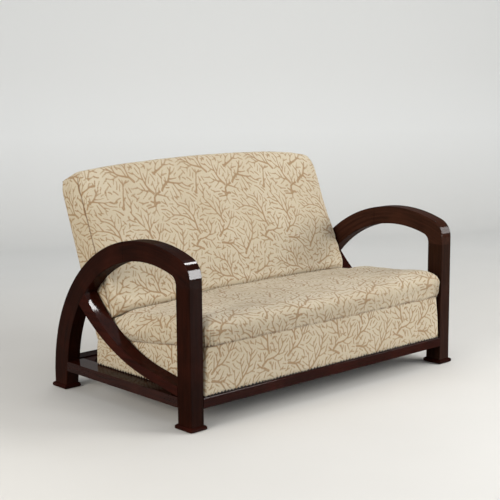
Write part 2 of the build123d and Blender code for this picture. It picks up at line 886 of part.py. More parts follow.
# Back frame: two leaning stiles that stand on the seat frame, joined by three rails
stile_inner = back_half_width - boxing_thick - soft_gap - back_member_play - back_member_width
frame_reach = back_panel_thick + back_member_depth
for side_name, side in sides.items():
    with BuildPart() as stile:
        with BuildSketch(Plane.YZ.offset(side * stile_inner)):
            with BuildLine():
                Polyline(
                    back_point(rise_at(seat_frame_top, back_panel_thick), back_panel_thick),
                    back_point(back_top_rail_foot, back_panel_thick),
                    back_point(back_top_rail_foot, frame_reach),
                    back_point(rise_at(seat_frame_top, frame_reach), frame_reach),
                    close=True,
                )
            make_face()
        extrude(amount=side * back_member_width)
    save(stile.part, f"back_frame_{side_name}_stile")

panel_plane = back_section_plane(0, 0)
lining_inset = boxing_thick + soft_gap
lining_corner = back_corner_radius - boxing_thick / 2
with BuildPart() as top_rail:
    with BuildSketch(panel_plane.offset(back_panel_thick)):
        add(back_outline(lining_inset, lining_inset, 0, lining_corner))
        with Locations((0, back_top_rail_foot - back_cushion_foot)):
            Rectangle(2 * half_width, 2 * overrun, align=(Align.CENTER, Align.MIN), mode=Mode.INTERSECT)
    extrude(amount=back_member_depth)
save(top_rail.part, "back_frame_top_rail")

with BuildPart() as bottom_rail:
    with BuildSketch(panel_plane.offset(back_panel_thick)):
        with Locations((0, back_bottom_rail_foot - back_cushion_foot)):
            Rectangle(2 * stile_inner, back_member_width, align=(Align.CENTER, Align.MIN))
    extrude(amount=back_member_depth)
save(bottom_rail.part, "back_frame_bottom_rail")

# Back webbing, tacked to the front of the back frame
web_reach = frame_reach + weave + web_thick / 2
web_low = back_bottom_rail_foot + back_member_width / 2
web_high = back_top_rail_foot + back_member_width / 2
back_web_count = int(2 * stile_inner / back_web_pitch_across)
back_web_columns = [
    (column - (back_web_count - 1) / 2) * back_web_pitch_across for column in range(back_web_count)
]
back_web_row_count = int((web_high - web_low - web_width) / back_web_pitch_up)
back_web_middle = (web_low + web_high) / 2
back_web_half = stile_inner + back_member_width / 2
web_grip = back_member_width / 2
back_web_rows = [
    back_web_middle + (row - (back_web_row_count - 1) / 2) * back_web_pitch_up
    for row in range(back_web_row_count)
]
with BuildPart() as back_webbing:
    for index, row in enumerate(back_web_rows):
        plane = Plane(back_point_at(0, row, web_reach), x_dir=(1, 0, 0), z_dir=rise_dir * -1)
        add(make_strap(plane, -back_web_half, back_web_half, web_grip, back_web_columns, index))
    for index, column in enumerate(back_web_columns):
        plane = Plane(back_point_at(column, 0, web_reach), x_dir=rise_dir, z_dir=(1, 0, 0))
        add(make_strap(plane, web_low, web_high, web_grip, back_web_rows, index + 1))
save(back_webbing.part, "back_webbing")

hessian_reach = web_reach + weave + web_thick / 2
with BuildPart() as back_hessian:
    with BuildSketch(panel_plane.offset(hessian_reach)):
        add(back_outline(2 * boxing_thick, 2 * boxing_thick, boxing_thick, back_corner_radius))
    extrude(amount=hessian_thick)
save(back_hessian.part, "back_hessian")

# Back padding: a slab behind the seam and the crowned stuffing in front of it
seam_plane = back_section_plane(back_seam_depth, back_seam_angle)
padding_reach = hessian_reach + hessian_thick
with BuildPart() as back_padding:
    with BuildSketch(panel_plane.offset(padding_reach)):
        add(back_outline(lining_inset, lining_inset, soft_gap, lining_corner))
    extrude(amount=back_seam_depth)
    split(bisect_by=seam_plane, keep=Keep.BOTTOM)
    add(make_back_cushion(cover_thick + soft_gap))
save(back_padding.part, "back_padding")

# Back cover: the crowned front, and the strip that runs over the top to the rear
boxing_top = back_end_rise - back_corner_radius - boxing_thick / 2
back_form = make_back_cushion(0)
back_lining = make_back_cushion(cover_thick)
with BuildPart() as back_cover:
    with BuildSketch(panel_plane):
        add(back_outline(0, 0, 0, back_corner_radius))
        add(back_outline(boxing_thick, boxing_thick, 0, lining_corner), mode=Mode.SUBTRACT)
        with Locations((0, boxing_top - back_cushion_foot)):
            Rectangle(2 * half_width, 2 * overrun, align=(Align.CENTER, Align.MIN), mode=Mode.INTERSECT)
    extrude(amount=back_seam_depth)
    split(bisect_by=seam_plane, keep=Keep.BOTTOM)
    add(back_form)
    add(back_lining, mode=Mode.SUBTRACT)
save(back_cover.part, "back_cover")

# Boxings: the flat strips that close the sides of the back, down to the seat's border
seam_slope = tan(radians(seat_rake))


def rear_seam_rise(reach):
    """Rise at which a line square out of the back meets the seat's seam plane."""
    y0, z0 = back_point(0, reach)
    return (seam_height(y0) - z0) / (cos(recline) + seam_slope * sin(recline))


boxing_front = front + seat_pad_back + soft_gap
foot_share = (boxing_front - back_point(back_cushion_foot, 0)[0]) / (
    back_point(back_cushion_foot, back_seam_depth)[0] - back_point(back_cushion_foot, 0)[0]
)
seam_top_reach = back_seam_depth - (boxing_top - back_cushion_foot) * tan(radians(back_seam_angle))
for side_name, side in sides.items():
    with BuildPart() as boxing:
        with BuildSketch(Plane.YZ.offset(side * back_half_width)):
            with BuildLine():
                Polyline(
                    back_point(boxing_top, 0),
                    back_point(boxing_top, seam_top_reach),
                    back_point(back_cushion_foot, back_seam_depth),
                    back_point(back_cushion_foot, back_seam_depth * foot_share),
                    (boxing_front, seam_height(boxing_front)),
                    back_point(rear_seam_rise(0), 0),
                    close=True,
                )
            make_face()
        extrude(amount=-side * boxing_thick)
    save(boxing.part, f"{side_name}_back_boxing")

# Outside back: the panel of fabric over the rear of the frame
with BuildPart() as outside_back:
    with BuildSketch(panel_plane):
        add(back_outline(lining_inset, lining_inset, rear_seam_rise(0) - back_cushion_foot, lining_corner))
    extrude(amount=back_panel_thick)
    split(bisect_by=seat_seam, keep=Keep.TOP)
save(outside_back.part, "outside_back")
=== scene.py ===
import math
from types import SimpleNamespace

import bmesh
import bpy
import numpy as np
from mathutils import Matrix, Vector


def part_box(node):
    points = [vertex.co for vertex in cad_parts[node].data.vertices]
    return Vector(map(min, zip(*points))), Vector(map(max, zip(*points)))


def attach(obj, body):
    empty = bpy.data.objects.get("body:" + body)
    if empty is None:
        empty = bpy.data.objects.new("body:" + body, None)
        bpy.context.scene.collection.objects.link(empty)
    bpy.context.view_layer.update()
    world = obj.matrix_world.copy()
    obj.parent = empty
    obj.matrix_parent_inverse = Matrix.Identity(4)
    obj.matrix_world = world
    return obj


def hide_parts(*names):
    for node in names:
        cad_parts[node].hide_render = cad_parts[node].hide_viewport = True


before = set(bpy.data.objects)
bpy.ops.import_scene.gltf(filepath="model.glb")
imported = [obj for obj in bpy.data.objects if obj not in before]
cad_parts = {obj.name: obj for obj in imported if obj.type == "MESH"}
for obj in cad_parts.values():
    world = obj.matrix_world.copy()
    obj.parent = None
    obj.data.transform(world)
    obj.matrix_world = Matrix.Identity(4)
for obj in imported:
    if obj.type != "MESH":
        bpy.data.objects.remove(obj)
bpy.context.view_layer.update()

# Studio: a pale floor that sweeps up into a pale wall, soft light from big diffusers, and a camera
# at standing height in front of the left arm with a long lens.
MM = 0.001
scene = bpy.context.scene
front_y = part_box("left_front_leg")[0][1]


def hex_colour(text):
    """An sRGB hex value as linear RGBA."""
    part = np.array([int(text[i:i + 2], 16) / 255 for i in (1, 3, 5)])
    linear = np.where(part <= 0.04045, part / 12.92, ((part + 0.055) / 1.055) ** 2.4)
    return (*[float(value) for value in linear], 1.0)


def set_inputs(tree, node, inputs):
    """Gives each named input of a node its value or its hex colour, or a link from a socket or from another
    node's first live output."""
    for name, value in inputs.items():
        if isinstance(value, bpy.types.Node):
            value = next(socket for socket in value.outputs if socket.enabled)
        if isinstance(value, bpy.types.NodeSocket):
            tree.links.new(value, node.inputs[name])
        else:
            node.inputs[name].default_value = hex_colour(value) if isinstance(value, str) else value


def add_node(tree, kind, inputs=None, **settings):
    """Adds a shader node, makes its settings, and then gives its inputs their values and links."""
    made = tree.nodes.new("ShaderNode" + kind)
    for name, value in settings.items():
        setattr(made, name, value)
    set_inputs(tree, made, inputs or {})
    return made


def new_material(name):
    """A material with its Principled shader linked to the output, and its Object coordinates."""
    material = bpy.data.materials.new(name)
    material.use_nodes = True
    tree = material.node_tree
    tree.nodes.clear()
    shader = add_node(tree, "BsdfPrincipled")
    add_node(tree, "OutputMaterial", {"Surface": shader.outputs["BSDF"]})
    return material, tree, shader, add_node(tree, "TexCoord").outputs["Object"]


def facing(side, lift, back, spot):
    """The matrix of a camera or lamp at a spot, with its x, y and z axes along side, lift and back."""
    return Matrix([[side[i], lift[i], back[i], spot[i]] for i in range(3)] + [[0, 0, 0, 1]])


yaw, pitch, roll = (math.radians(angle) for angle in (-42.351, 9.408, -0.391))
camera_spot = (-3.3645, -3.2114 + front_y, 1.3476)
ahead = np.array([-math.sin(yaw) * math.cos(pitch), math.cos(yaw) * math.cos(pitch), -math.sin(pitch)])
right = np.cross(ahead, [0, 0, 1])
right /= np.linalg.norm(right)
up = np.cross(right, ahead)
right, up = math.cos(roll) * right + math.sin(roll) * up, -math.sin(roll) * right + math.cos(roll) * up
camera = bpy.data.objects.new("camera", bpy.data.cameras.new("camera"))
scene.collection.objects.link(camera)
camera.data.lens = 87.44
camera.data.sensor_width = 36.0
camera.data.clip_end = 60.0
camera.matrix_world = facing(right, up, -ahead, camera_spot)
scene.camera = camera

# the camera and the gloss see the floor pale; the soft light that it throws back is that of a worn
# timber floor
floor_paint, tree, shader, place = new_material("pale_floor_paint")
cloud = add_node(tree, "TexNoise", {"Vector": place, "Scale": 1.3, "Detail": 4.0})
floor_tone = add_node(tree, "Mix", {"Factor": cloud, "A": "#cbc9c4", "B": "#d3d1cd"}, data_type="RGBA")
rays = add_node(tree, "LightPath").outputs
seen = add_node(tree, "Math", {0: rays["Is Camera Ray"], 1: rays["Is Glossy Ray"]}, operation="MAXIMUM")
seen = add_node(tree, "Math", {0: seen, 1: rays["Is Transmission Ray"]}, operation="MAXIMUM")
upward = add_node(tree, "SeparateXYZ", {0: place}).outputs["Z"]
walled = add_node(tree, "MapRange", {"Value": upward, "From Min": 0.02, "From Max": 0.7})
pale = add_node(tree, "Math", {0: seen, 1: walled}, operation="MAXIMUM")
wall = add_node(tree, "Mix", {"Factor": walled, "A": floor_tone, "B": "#e2e2e0"}, data_type="RGBA")
ground = add_node(tree, "Mix", {"Factor": pale, "A": "#80796e", "B": wall}, data_type="RGBA")
rearward = add_node(tree, "VectorMath", {0: place, 1: (0.5, 0.866, 0.0)}, operation="DOT_PRODUCT")
behind = add_node(tree, "MapRange", {"Value": rearward, "From Min": 0.5, "From Max": 3.2},
                  interpolation_type="SMOOTHSTEP")
lit = add_node(tree, "Math", {0: seen, 1: behind}, operation="MULTIPLY")
faint = add_node(tree, "Math", {0: lit, 1: 0.1}, operation="MULTIPLY")
set_inputs(tree, shader, {"Base Color": ground, "Roughness": 0.75,
                          "Emission Color": "#e6f4ff", "Emission Strength": faint})

# the sweep in metres: flat, then a quarter round, then an upright wall, turned nearly square to the camera
sweep_radius, sweep_start, sweep_top, sweep_half = 1.2, 3.4, 6.0, 9.0
turn = np.linspace(0, math.pi / 2, 25)
profile = np.concatenate([
    [[-sweep_half, 0.0]],
    np.stack([sweep_start + sweep_radius * np.sin(turn), sweep_radius * (1 - np.cos(turn))], 1),
    [[sweep_start + sweep_radius, sweep_top]],
])
rows = np.stack([
    np.stack([np.full(len(profile), x), profile[:, 0], profile[:, 1]], 1) for x in (-sweep_half, sweep_half)
])
turned = math.radians(-30)
spin = np.array([[math.cos(turned), -math.sin(turned), 0],
                 [math.sin(turned), math.cos(turned), 0],
                 [0, 0, 1]])
count = len(profile)
sweep_mesh = bpy.data.meshes.new("studio_floor")
sweep_mesh.from_pydata((rows.reshape(-1, 3) @ spin.T).tolist(), [],
                       [(i, count + i, count + i + 1, i + 1) for i in range(count - 1)])
sweep_mesh.shade_smooth()
studio_floor = bpy.data.objects.new("studio_floor", sweep_mesh)
scene.collection.objects.link(studio_floor)
studio_floor.data.materials.append(floor_paint)

world = bpy.data.worlds.new("studio")
world.use_nodes = True
set_inputs(world.node_tree, world.node_tree.nodes["Background"],
           {"Color": (0.93, 0.96, 1.0, 1.0), "Strength": 0.42})
scene.world = world


def soft_light(name, spot, aim, size, watts, tint="#ffffff", glint=False, matt=False):
    """A rectangular diffuser at a spot, turned to face a point. A glint lamp only shows in gloss,
    and a matt one, a wide scrimmed window, lights without a reflection."""
    lamp = bpy.data.lights.new(name, "AREA")
    lamp.shape = "RECTANGLE"
    lamp.size, lamp.size_y = size
    lamp.energy = watts
    lamp.color = hex_colour(tint)[:3]
    shown = bpy.data.objects.new(name, lamp)
    shown.visible_diffuse = not glint
    shown.visible_glossy = not matt
    scene.collection.objects.link(shown)
    back = np.array(spot, float) - np.array(aim, float)
    back /= np.linalg.norm(back)
    side = np.cross([0, 0, 1], back)
    side /= np.linalg.norm(side)
    shown.matrix_world = facing(side, np.cross(back, side), back, spot)


soft_light("window_left", (-4.4, -0.6, 1.8), (0, 0, 0.4), (2.6, 1.8), 136, "#fffaf2")
soft_light("window_right", (3.7, -3.7, 2.3), (0, 0, 0.4), (3.2, 2.6), 224, "#fffdf8", matt=True)
soft_light("ceiling_bank", (0.4, 0.2, 3.6), (0, 0, 0), (3.0, 3.0), 36)
soft_light("glint_above", (1.12, -0.62, 2.95), (-0.70, -0.42, 0.60), (0.5, 0.5), 112, glint=True)
soft_light("glint_front", (1.18, -2.55, 1.25), (-0.70, -0.44, 0.58), (0.7, 1.9), 470, glint=True)
soft_light("glint_right", (2.95, -2.0, 1.7), (0.70, -0.42, 0.59), (0.9, 1.5), 125, glint=True)
scene.view_settings.view_transform = "Standard"

# Show-wood frame: beech legs, bent bows, braces and rails, stained dark brown and finished in a
# rubbed gloss lacquer. The stain sits darker in the pores; the lacquer gives sharp reflections.
# the grain of both bows runs round one centre, true to length at this radius, and their joint is behind it
bow_y, bow_z = 261 * MM + front_y, 71 * MM
BOW_RADIUS = 560 * MM
JOINT_BEHIND = 125 * MM
# streaks to the metre: each is about 11 mm wide and 200 mm long
ALONG_GRAIN, ACROSS_GRAIN = 5.0, 90.0


def lacquered_wood(name, grain, stain="#260f08", deep="#180905", warm="#37160c", coat=0.1):
    """Stained beech under lacquer. Streaks run along the grain, which is an axis or, in a bow, its bend. The
    colours are those of the plain wood, of the streaks and of the reddish clouds."""
    material, tree, shader, place = new_material(name)
    if grain == "bow":
        # place becomes the distance across, the arc length and the radius about the bow's centre
        centred = add_node(tree, "VectorMath", {0: place, 1: (0, -bow_y, -bow_z)}, operation="ADD")
        parts = add_node(tree, "SeparateXYZ", {0: centred}).outputs
        angle = add_node(tree, "Math", {0: parts["Y"], 1: parts["Z"]}, operation="ARCTAN2")
        run = add_node(tree, "Math", {0: angle, 1: BOW_RADIUS}, operation="MULTIPLY")
        flat = add_node(tree, "CombineXYZ", {"Y": parts["Y"], "Z": parts["Z"]})
        radius = add_node(tree, "VectorMath", {0: flat}, operation="LENGTH")
        place = add_node(tree, "CombineXYZ", {"X": parts["X"], "Y": run, "Z": radius})
    grain_axis = "y" if grain == "bow" else grain
    stretch = [ALONG_GRAIN if axis == grain_axis else ACROSS_GRAIN for axis in "xyz"]
    along = add_node(tree, "VectorMath", {0: place, 1: stretch}, operation="MULTIPLY")
    streak = add_node(tree, "TexNoise", {"Vector": along, "Scale": 1.0, "Detail": 5.0, "Roughness": 0.6})
    cloud = add_node(tree, "TexNoise", {"Vector": place, "Scale": 7.0, "Detail": 2.0})
    dark = add_node(tree, "MapRange", {"Value": streak, "From Min": 0.35, "From Max": 0.7})
    stained = add_node(tree, "Mix", {"Factor": dark, "A": stain, "B": deep}, data_type="RGBA")
    glow = add_node(tree, "MapRange", {"Value": cloud, "From Min": 0.5, "From Max": 0.8, "To Max": 0.5})
    colour = add_node(tree, "Mix", {"Factor": glow, "A": stained, "B": warm}, data_type="RGBA")
    if grain == "bow":
        # the two bows meet behind that centre in a glued joint, where the stain took darker
        beside = add_node(tree, "Math", {0: parts["Y"], 1: JOINT_BEHIND}, operation="SUBTRACT")
        apart = add_node(tree, "Math", {0: beside}, operation="ABSOLUTE")
        line = add_node(tree, "MapRange", {"Value": apart, "From Min": 1.6 * MM,
                                           "From Max": 0.5 * MM, "To Max": 0.7})
        colour = add_node(tree, "Mix", {"Factor": line, "A": colour, "B": "#0a0403"}, data_type="RGBA")
    pores = add_node(tree, "Bump", {"Height": streak, "Strength": 0.04, "Distance": 1 * MM})
    wear = add_node(tree, "MapRange", {"Value": cloud, "To Min": 0.3, "To Max": 0.42})
    set_inputs(tree, shader, {"Base Color": colour, "Normal": pores, "Roughness": wear,
                              "Specular IOR Level": 0.0, "Coat Weight": coat, "Coat Roughness": 0.08})
    return material


wood_upright = lacquered_wood("lacquered_beech_upright", "z", coat=0.05)
wood_bent = lacquered_wood("lacquered_beech_bent", "bow")
wood_deep = lacquered_wood("lacquered_beech_lengthwise", "y", "#30110a", "#1f0905", "#441a0f")
wood_rail = lacquered_wood("lacquered_beech_rail", "y", "#2a0f08", "#1b0804", "#3c180d", 0.3)
# painted light: lighter copies of the upright and bent stains, used only on the right arm
wood_upright_painted_lighter = lacquered_wood("lacquered_beech_upright_painted_lighter", "z", "#2e1910", "#1f100a", "#3c2117")
wood_bent_painted_lighter = lacquered_wood("lacquered_beech_bent_painted_lighter", "bow", "#3a2118", "#27150e", "#4a2a1d")
wood_wide = lacquered_wood("lacquered_beech_crosswise", "x", "#2c0f09", "#1c0905", "#3e170e", 0.07)


def dress(material, *nodes):
    """Puts one material on every slot of CAD nodes."""
    for node in nodes:
        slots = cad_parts[node].data.materials
        slots.clear()
        slots.append(material)


# the right arm's wood is painted light: lighter copies of the stain stand in for the light that falls on that
# arm
for side, upright, bent in (("left", wood_upright, wood_bent), ("right", wood_upright_painted_lighter, wood_bent_painted_lighter)):
    dress(upright, f"{side}_front_leg")
    dress(bent, f"{side}_arm_front_bow", f"{side}_arm_rear_bow")
    dress(wood_deep, f"{side}_brace")
    dress(wood_rail, f"{side}_side_rail")
    dress(wood_wide, f"{side}_front_foot", f"{side}_rear_foot")
dress(wood_wide, "front_rail", "back_rail", "corner_blocks")

# Hidden timbers: the seat and back frames, the bearers and the dowels are sawn beech, glued and
# screwed together and left raw under the cover.
raw_beech, tree, shader, place = new_material("sawn_beech")
along = add_node(tree, "VectorMath", {0: place, 1: (6.0, 70.0, 90.0)}, operation="MULTIPLY")
streak = add_node(tree, "TexNoise", {"Vector": along, "Scale": 1.0, "Detail": 4.0})
tone = add_node(tree, "Mix", {"Factor": streak, "A": "#d0a876", "B": "#a87c4c"}, data_type="RGBA")
set_inputs(tree, shader, {"Base Color": tone, "Roughness": 0.65})
dress(raw_beech, "frame_dowels", "left_bearer", "right_bearer", "seat_frame_front", "seat_frame_rear",
      "seat_frame_left", "seat_frame_right", "back_frame_left_stile", "back_frame_right_stile",
      "back_frame_top_rail", "back_frame_bottom_rail")

# Screws and floor glides: bright zinc-plated steel, cold headed, with a faint cloudy bloom from the
# plating bath. The screws are driven home, and a glide is fixed under each foot.
zinc, tree, shader, place = new_material("zinc_plated_steel")
cloud = add_node(tree, "TexNoise", {"Vector": place, "Scale": 220.0, "Detail": 3.0})
bloom = add_node(tree, "MapRange", {"Value": cloud, "To Min": 0.28, "To Max": 0.45})
set_inputs(tree, shader, {"Base Color": "#b9bab6", "Metallic": 1.0, "Roughness": bloom})
dress(zinc, "foot_screws", "corner_screws", "bearer_screws", "seat_screws", "floor_glides")

# Springs and edge wire: copper-washed hard-drawn steel wire. The springs stand on the webbing, and
# the wire goes round their tops.
copper, tree, shader, place = new_material("copper_washed_steel")
cloud = add_node(tree, "TexNoise", {"Vector": place, "Scale": 60.0, "Detail": 3.0})
tone = add_node(tree, "Mix", {"Factor": cloud, "A": "#a8714f", "B": "#7f6a5c"}, data_type="RGBA")
set_inputs(tree, shader, {"Base Color": tone, "Metallic": 1.0, "Roughness": 0.38})
dress(copper, "seat_springs", "seat_edge_wire")


def woven_material(name, warp, weft, pitch_mm):
    """A plain weave: two sets of ribs cross at the thread pitch. A wave texture turns by 20 radians a metre
    at a scale of 1, so its scale is a tenth of pi over the pitch."""
    material, tree, shader, place = new_material(name)
    rate = math.pi / 10 / (pitch_mm * MM)
    over, under = (add_node(tree, "TexWave", {"Vector": place, "Scale": rate}, bands_direction=way)
                   for way in "XY")
    cross = add_node(tree, "Math", {0: over.outputs["Fac"], 1: under.outputs["Fac"]}, operation="MULTIPLY")
    tone = add_node(tree, "Mix", {"Factor": cross, "A": warp, "B": weft}, data_type="RGBA")
    ribs = add_node(tree, "Bump", {"Height": cross, "Strength": 0.5, "Distance": 0.6 * MM})
    set_inputs(tree, shader, {"Base Color": tone, "Normal": ribs, "Roughness": 0.9,
                              "Specular IOR Level": 0.1})
    return material


# Webbing, hessian and dust cover: jute straps and open jute cloth under the springs and the pads,
# and black lining tacked to the underside.
jute = woven_material("jute_webbing_cloth", "#8d7347", "#b39a68", 1.508)
hessian = woven_material("hessian_cloth", "#7d6436", "#a98d58", 1.131)
lining = woven_material("black_lining_cloth", "#09090a", "#141416", 0.754)
dress(jute, "seat_webbing", "back_webbing")
dress(hessian, "seat_hessian", "back_hessian")
dress(lining, "dust_cover")

# Cover cloth: a cream cotton jacquard with a raised tan chenille motif of branching sea corals. The
# motif is drawn once over a repeat of 384 by 464 mm: trunks open into limbs, and limbs into fingers
# about 5 mm wide that never touch. Every piece of cloth reads it by its own flat chart in mm.
REPEAT = np.array([384.0, 464.0])
STROKE_STEP = 4.0
# each stroke's half width at its root and its tip, and the room that it keeps to the others, in mm
TRUNK, LIMB, FINGER, STEM = ((5.2, 3.8), 12.0), ((3.6, 2.5), 10.6), ((2.9, 2.1), 9.8), ((2.8, 2.1), 9.8)
PLANTINGS, FIRST_CORALS, CORAL_ROOM, SPRIG_ROOM = 760, 9, 26.0, 10.5
rng = np.random.default_rng(41)
drawn = np.zeros((0, 3))


def wrapped(gap):
    """The shortest way between two places on the repeating cloth."""
    return gap - REPEAT * np.round(gap / REPEAT)


def walk(start, heading, length, curl, widths, keep_off):
    """Steps along a curving path, and stops short of any stroke that isn't close to its own root."""
    spot = np.array(start, float)
    root_gap = wrapped(drawn[:, :2] - spot)
    others = drawn[(root_gap ** 2).sum(1) > (keep_off * 1.45) ** 2, :2]
    steps = int(length / STROKE_STEP)
    path = []
    for step in range(steps):
        heading += curl + rng.normal(0, 0.06)
        after = spot + STROKE_STEP * np.array([math.sin(heading), math.cos(heading)])
        if step > 1 and len(others) and (wrapped(others - after) ** 2).sum(1).min() < keep_off ** 2:
            break
        spot = after
        path.append((spot[0], spot[1], widths[0] + (widths[1] - widths[0]) * step / steps, heading))
    return path


def draw(path, shortest):
    """Adds a path to the drawing if it is long enough."""
    global drawn
    if len(path) < shortest:
        return False
    drawn = np.concatenate([drawn, np.array([place[:3] for place in path])])
    return True


def fingers(limb, gaps, reach, depth):
    """Fingers to both sides of a limb in turn, each opening out and then bending to run beside it."""
    side = rng.choice([-1, 1])
    index = 2
    while index < len(limb) - 1:
        x, y, _, heading = limb[index]
        length = rng.uniform(*reach) * (1.15 - 0.5 * index / len(limb))
        finger = walk((x, y), heading + side * rng.uniform(0.6, 0.95), length,
                      -side * rng.uniform(0.0, 0.08), *FINGER)
        if draw(finger, 4) and depth and len(finger) > 6:
            fingers(finger[1:], (3, 5), (reach[0] * 0.6, reach[1] * 0.6), depth - 1)
        side = -side
        index += int(rng.integers(*gaps))


def coral(root, lean):
    """A stout trunk that opens into three curving limbs, all with fingers."""
    trunk = walk(root, lean, rng.uniform(28, 56), rng.normal(0, 0.025), *TRUNK)
    if not draw(trunk, 4):
        return
    x, y, _, heading = trunk[-1]
    limbs = []
    for turn in rng.permutation([-0.5, 0.03, 0.52]):
        limb = walk((x, y), heading + turn + rng.normal(0, 0.08), rng.uniform(70, 130),
                    rng.normal(0, 0.03) - turn * 0.03, *LIMB)
        if draw(limb, 5):
            limbs.append(limb)
    for limb in limbs:
        fingers(limb, (2, 5), (36, 80), 1)
    fingers(trunk[1:], (3, 5), (50, 90), 1)


def sprig(root, lean):
    """A single curving finger with a fork or two, for the room between the corals."""
    stem = walk(root, lean, rng.uniform(34, 80), rng.normal(0, 0.05), *STEM)
    if draw(stem, 5):
        fingers(stem, (3, 5), (22, 50), 0)


def best_of(plant, root, leans, least):
    """Plants the growth that covers most from a few headings, and none that stays under a least size."""
    global drawn
    before, best = drawn, drawn
    for lean in leans:
        drawn = before
        plant(root, lean)
        if len(drawn) > len(best):
            best = drawn
    drawn = best if len(best) - len(before) >= least else before


for attempt in range(PLANTINGS):
    spots = rng.uniform((0, 0), REPEAT, (30, 2))
    free = [np.sqrt((wrapped(drawn[:, :2] - spot) ** 2).sum(1).min()) if len(drawn) else 999.0
            for spot in spots]
    widest = int(np.argmax(free))
    if attempt < FIRST_CORALS or free[widest] > CORAL_ROOM:
        best_of(coral, spots[widest], rng.normal(0, 0.9, 5), 34)
    elif free[widest] > SPRIG_ROOM:
        best_of(sprig, spots[widest], rng.normal(0, 1.2, 4), 5)

# the drawing as a table of distances to the nearest stroke edge, in mm, out to about 20 mm
TABLE_STEP = 1.6
table_size = np.round(REPEAT / TABLE_STEP).astype(int)
stroke_table = np.full(table_size, 20.0)
near = np.arange(-13, 14)
for x, y, half in drawn:
    column, row = int(round(x / TABLE_STEP)) + near, int(round(y / TABLE_STEP)) + near
    gap = np.hypot(column[:, None] * TABLE_STEP - x, row[None, :] * TABLE_STEP - y) - half
    cells = np.ix_(column % table_size[0], row % table_size[1])
    stroke_table[cells] = np.minimum(stroke_table[cells], gap)


def motif_at(chart):
    """Distance to the nearest stroke at places on the cloth in mm, between the table's entries."""
    spot = chart / TABLE_STEP
    low = np.floor(spot).astype(int)
    part = spot - low
    a, b = low[..., 0] % table_size[0], low[..., 1] % table_size[1]
    c, d = (a + 1) % table_size[0], (b + 1) % table_size[1]
    lower = stroke_table[a, b] * (1 - part[..., 0]) + stroke_table[c, b] * part[..., 0]
    upper = stroke_table[a, d] * (1 - part[..., 0]) + stroke_table[c, d] * part[..., 0]
    return lower * (1 - part[..., 1]) + upper * part[..., 1]


def ripple(chart, size, seed):
    """Soft random unevenness from -1 to 1: a sum of six sine waves about size mm long, in seeded ways."""
    wave = np.random.default_rng(seed)
    total = np.zeros(chart.shape[:-1])
    for _ in range(6):
        turn = wave.uniform(0, 2 * math.pi)
        pitch = size * wave.uniform(0.7, 1.5)
        phase = wave.uniform(0, 2 * math.pi)
        way = chart[..., 0] * math.cos(turn) + chart[..., 1] * math.sin(turn)
        total += np.sin(way * 2 * math.pi / pitch + phase)
    return total / 3.5


def cloth_material(name, ground, motif, heart, painted_shade):
    """Jacquard: cream ground, chenille strokes that are paler along the heart of a trunk, and thread ribs
    that follow the cloth's own flat chart, kept as a UV map in metres. The seam attribute mixes in painted
    shade: a dark line along the seams, and darker pleat valleys and tack dimples."""
    material, tree, shader, place = new_material(name)
    motif_gap = add_node(tree, "Attribute", attribute_name="motif").outputs["Fac"]
    seam = add_node(tree, "Attribute", attribute_name="seam").outputs["Fac"]
    chart = add_node(tree, "UVMap", uv_map="cloth")
    # the chenille's cut ends fray the outline by about half a millimetre
    fray = add_node(tree, "TexNoise", {"Vector": chart, "Scale": 420.0, "Detail": 2.0})
    frayed = add_node(tree, "Math", {0: fray, 1: 1.6, 2: -0.8}, operation="MULTIPLY_ADD")
    edge = add_node(tree, "Math", {0: motif_gap, 1: frayed}, operation="ADD")
    raised = add_node(tree, "MapRange", {"Value": edge, "From Min": 1.2, "From Max": -1.2},
                      interpolation_type="SMOOTHSTEP")
    inner = add_node(tree, "MapRange", {"Value": edge, "From Min": -2.2, "From Max": -4.6},
                     interpolation_type="SMOOTHSTEP")
    patch = add_node(tree, "TexNoise", {"Vector": place, "Scale": 5.0, "Detail": 3.0})
    fine = add_node(tree, "TexNoise", {"Vector": chart, "Scale": 160.0, "Detail": 4.0, "Roughness": 0.7})
    worn = add_node(tree, "MapRange", {"Value": patch, "From Min": 0.3, "From Max": 0.7})
    base = add_node(tree, "Mix", {"Factor": worn, "A": ground[0], "B": ground[1]}, data_type="RGBA")
    pile = add_node(tree, "Mix", {"Factor": fine, "A": motif[0], "B": motif[1]}, data_type="RGBA")
    strokes = add_node(tree, "Mix", {"Factor": inner, "A": pile, "B": heart}, data_type="RGBA")
    cloth = add_node(tree, "Mix", {"Factor": raised, "A": base, "B": strokes}, data_type="RGBA")
    # threads show as a light mottling about 3 mm across, coarser than the real 0.6 mm, so that it can be seen
    mottle = add_node(tree, "MapRange", {"Value": fine, "From Min": 0.3, "From Max": 0.7,
                                         "To Min": 0.9, "To Max": 1.06})
    toned = add_node(tree, "VectorMath", {0: cloth, "Scale": mottle}, operation="SCALE")
    # painted shade: the seam attribute mixes in the shade colour along seams, in pleat valleys and at tack
    # dimples
    sewn = add_node(tree, "Mix", {"Factor": seam, "A": toned, "B": painted_shade}, data_type="RGBA")
    ribs = add_node(tree, "TexWave",
                    {"Vector": chart, "Scale": 260.0, "Distortion": 1.5, "Detail": 2.0},
                    bands_direction="Y").outputs["Fac"]
    threads = add_node(tree, "Math", {0: ribs, 1: fine}, operation="MULTIPLY")
    height = add_node(tree, "Math", {0: raised, 1: 0.9, 2: threads}, operation="MULTIPLY_ADD")
    bump = add_node(tree, "Bump", {"Height": height, "Strength": 0.55, "Distance": 0.9 * MM})
    set_inputs(tree, shader, {"Base Color": sewn, "Normal": bump, "Roughness": 0.88,
                              "Specular IOR Level": 0.1, "Sheen Weight": 0.12, "Sheen Roughness": 0.5})
    return material


# the last colour is that of the painted shade at seams, pleats and tacks
cover_cloth = cloth_material("cotton_jacquard_chenille", ("#cabea6", "#c2b49a"), ("#a98d6a", "#947858"),
                             "#b89f80", "#5a3a20")


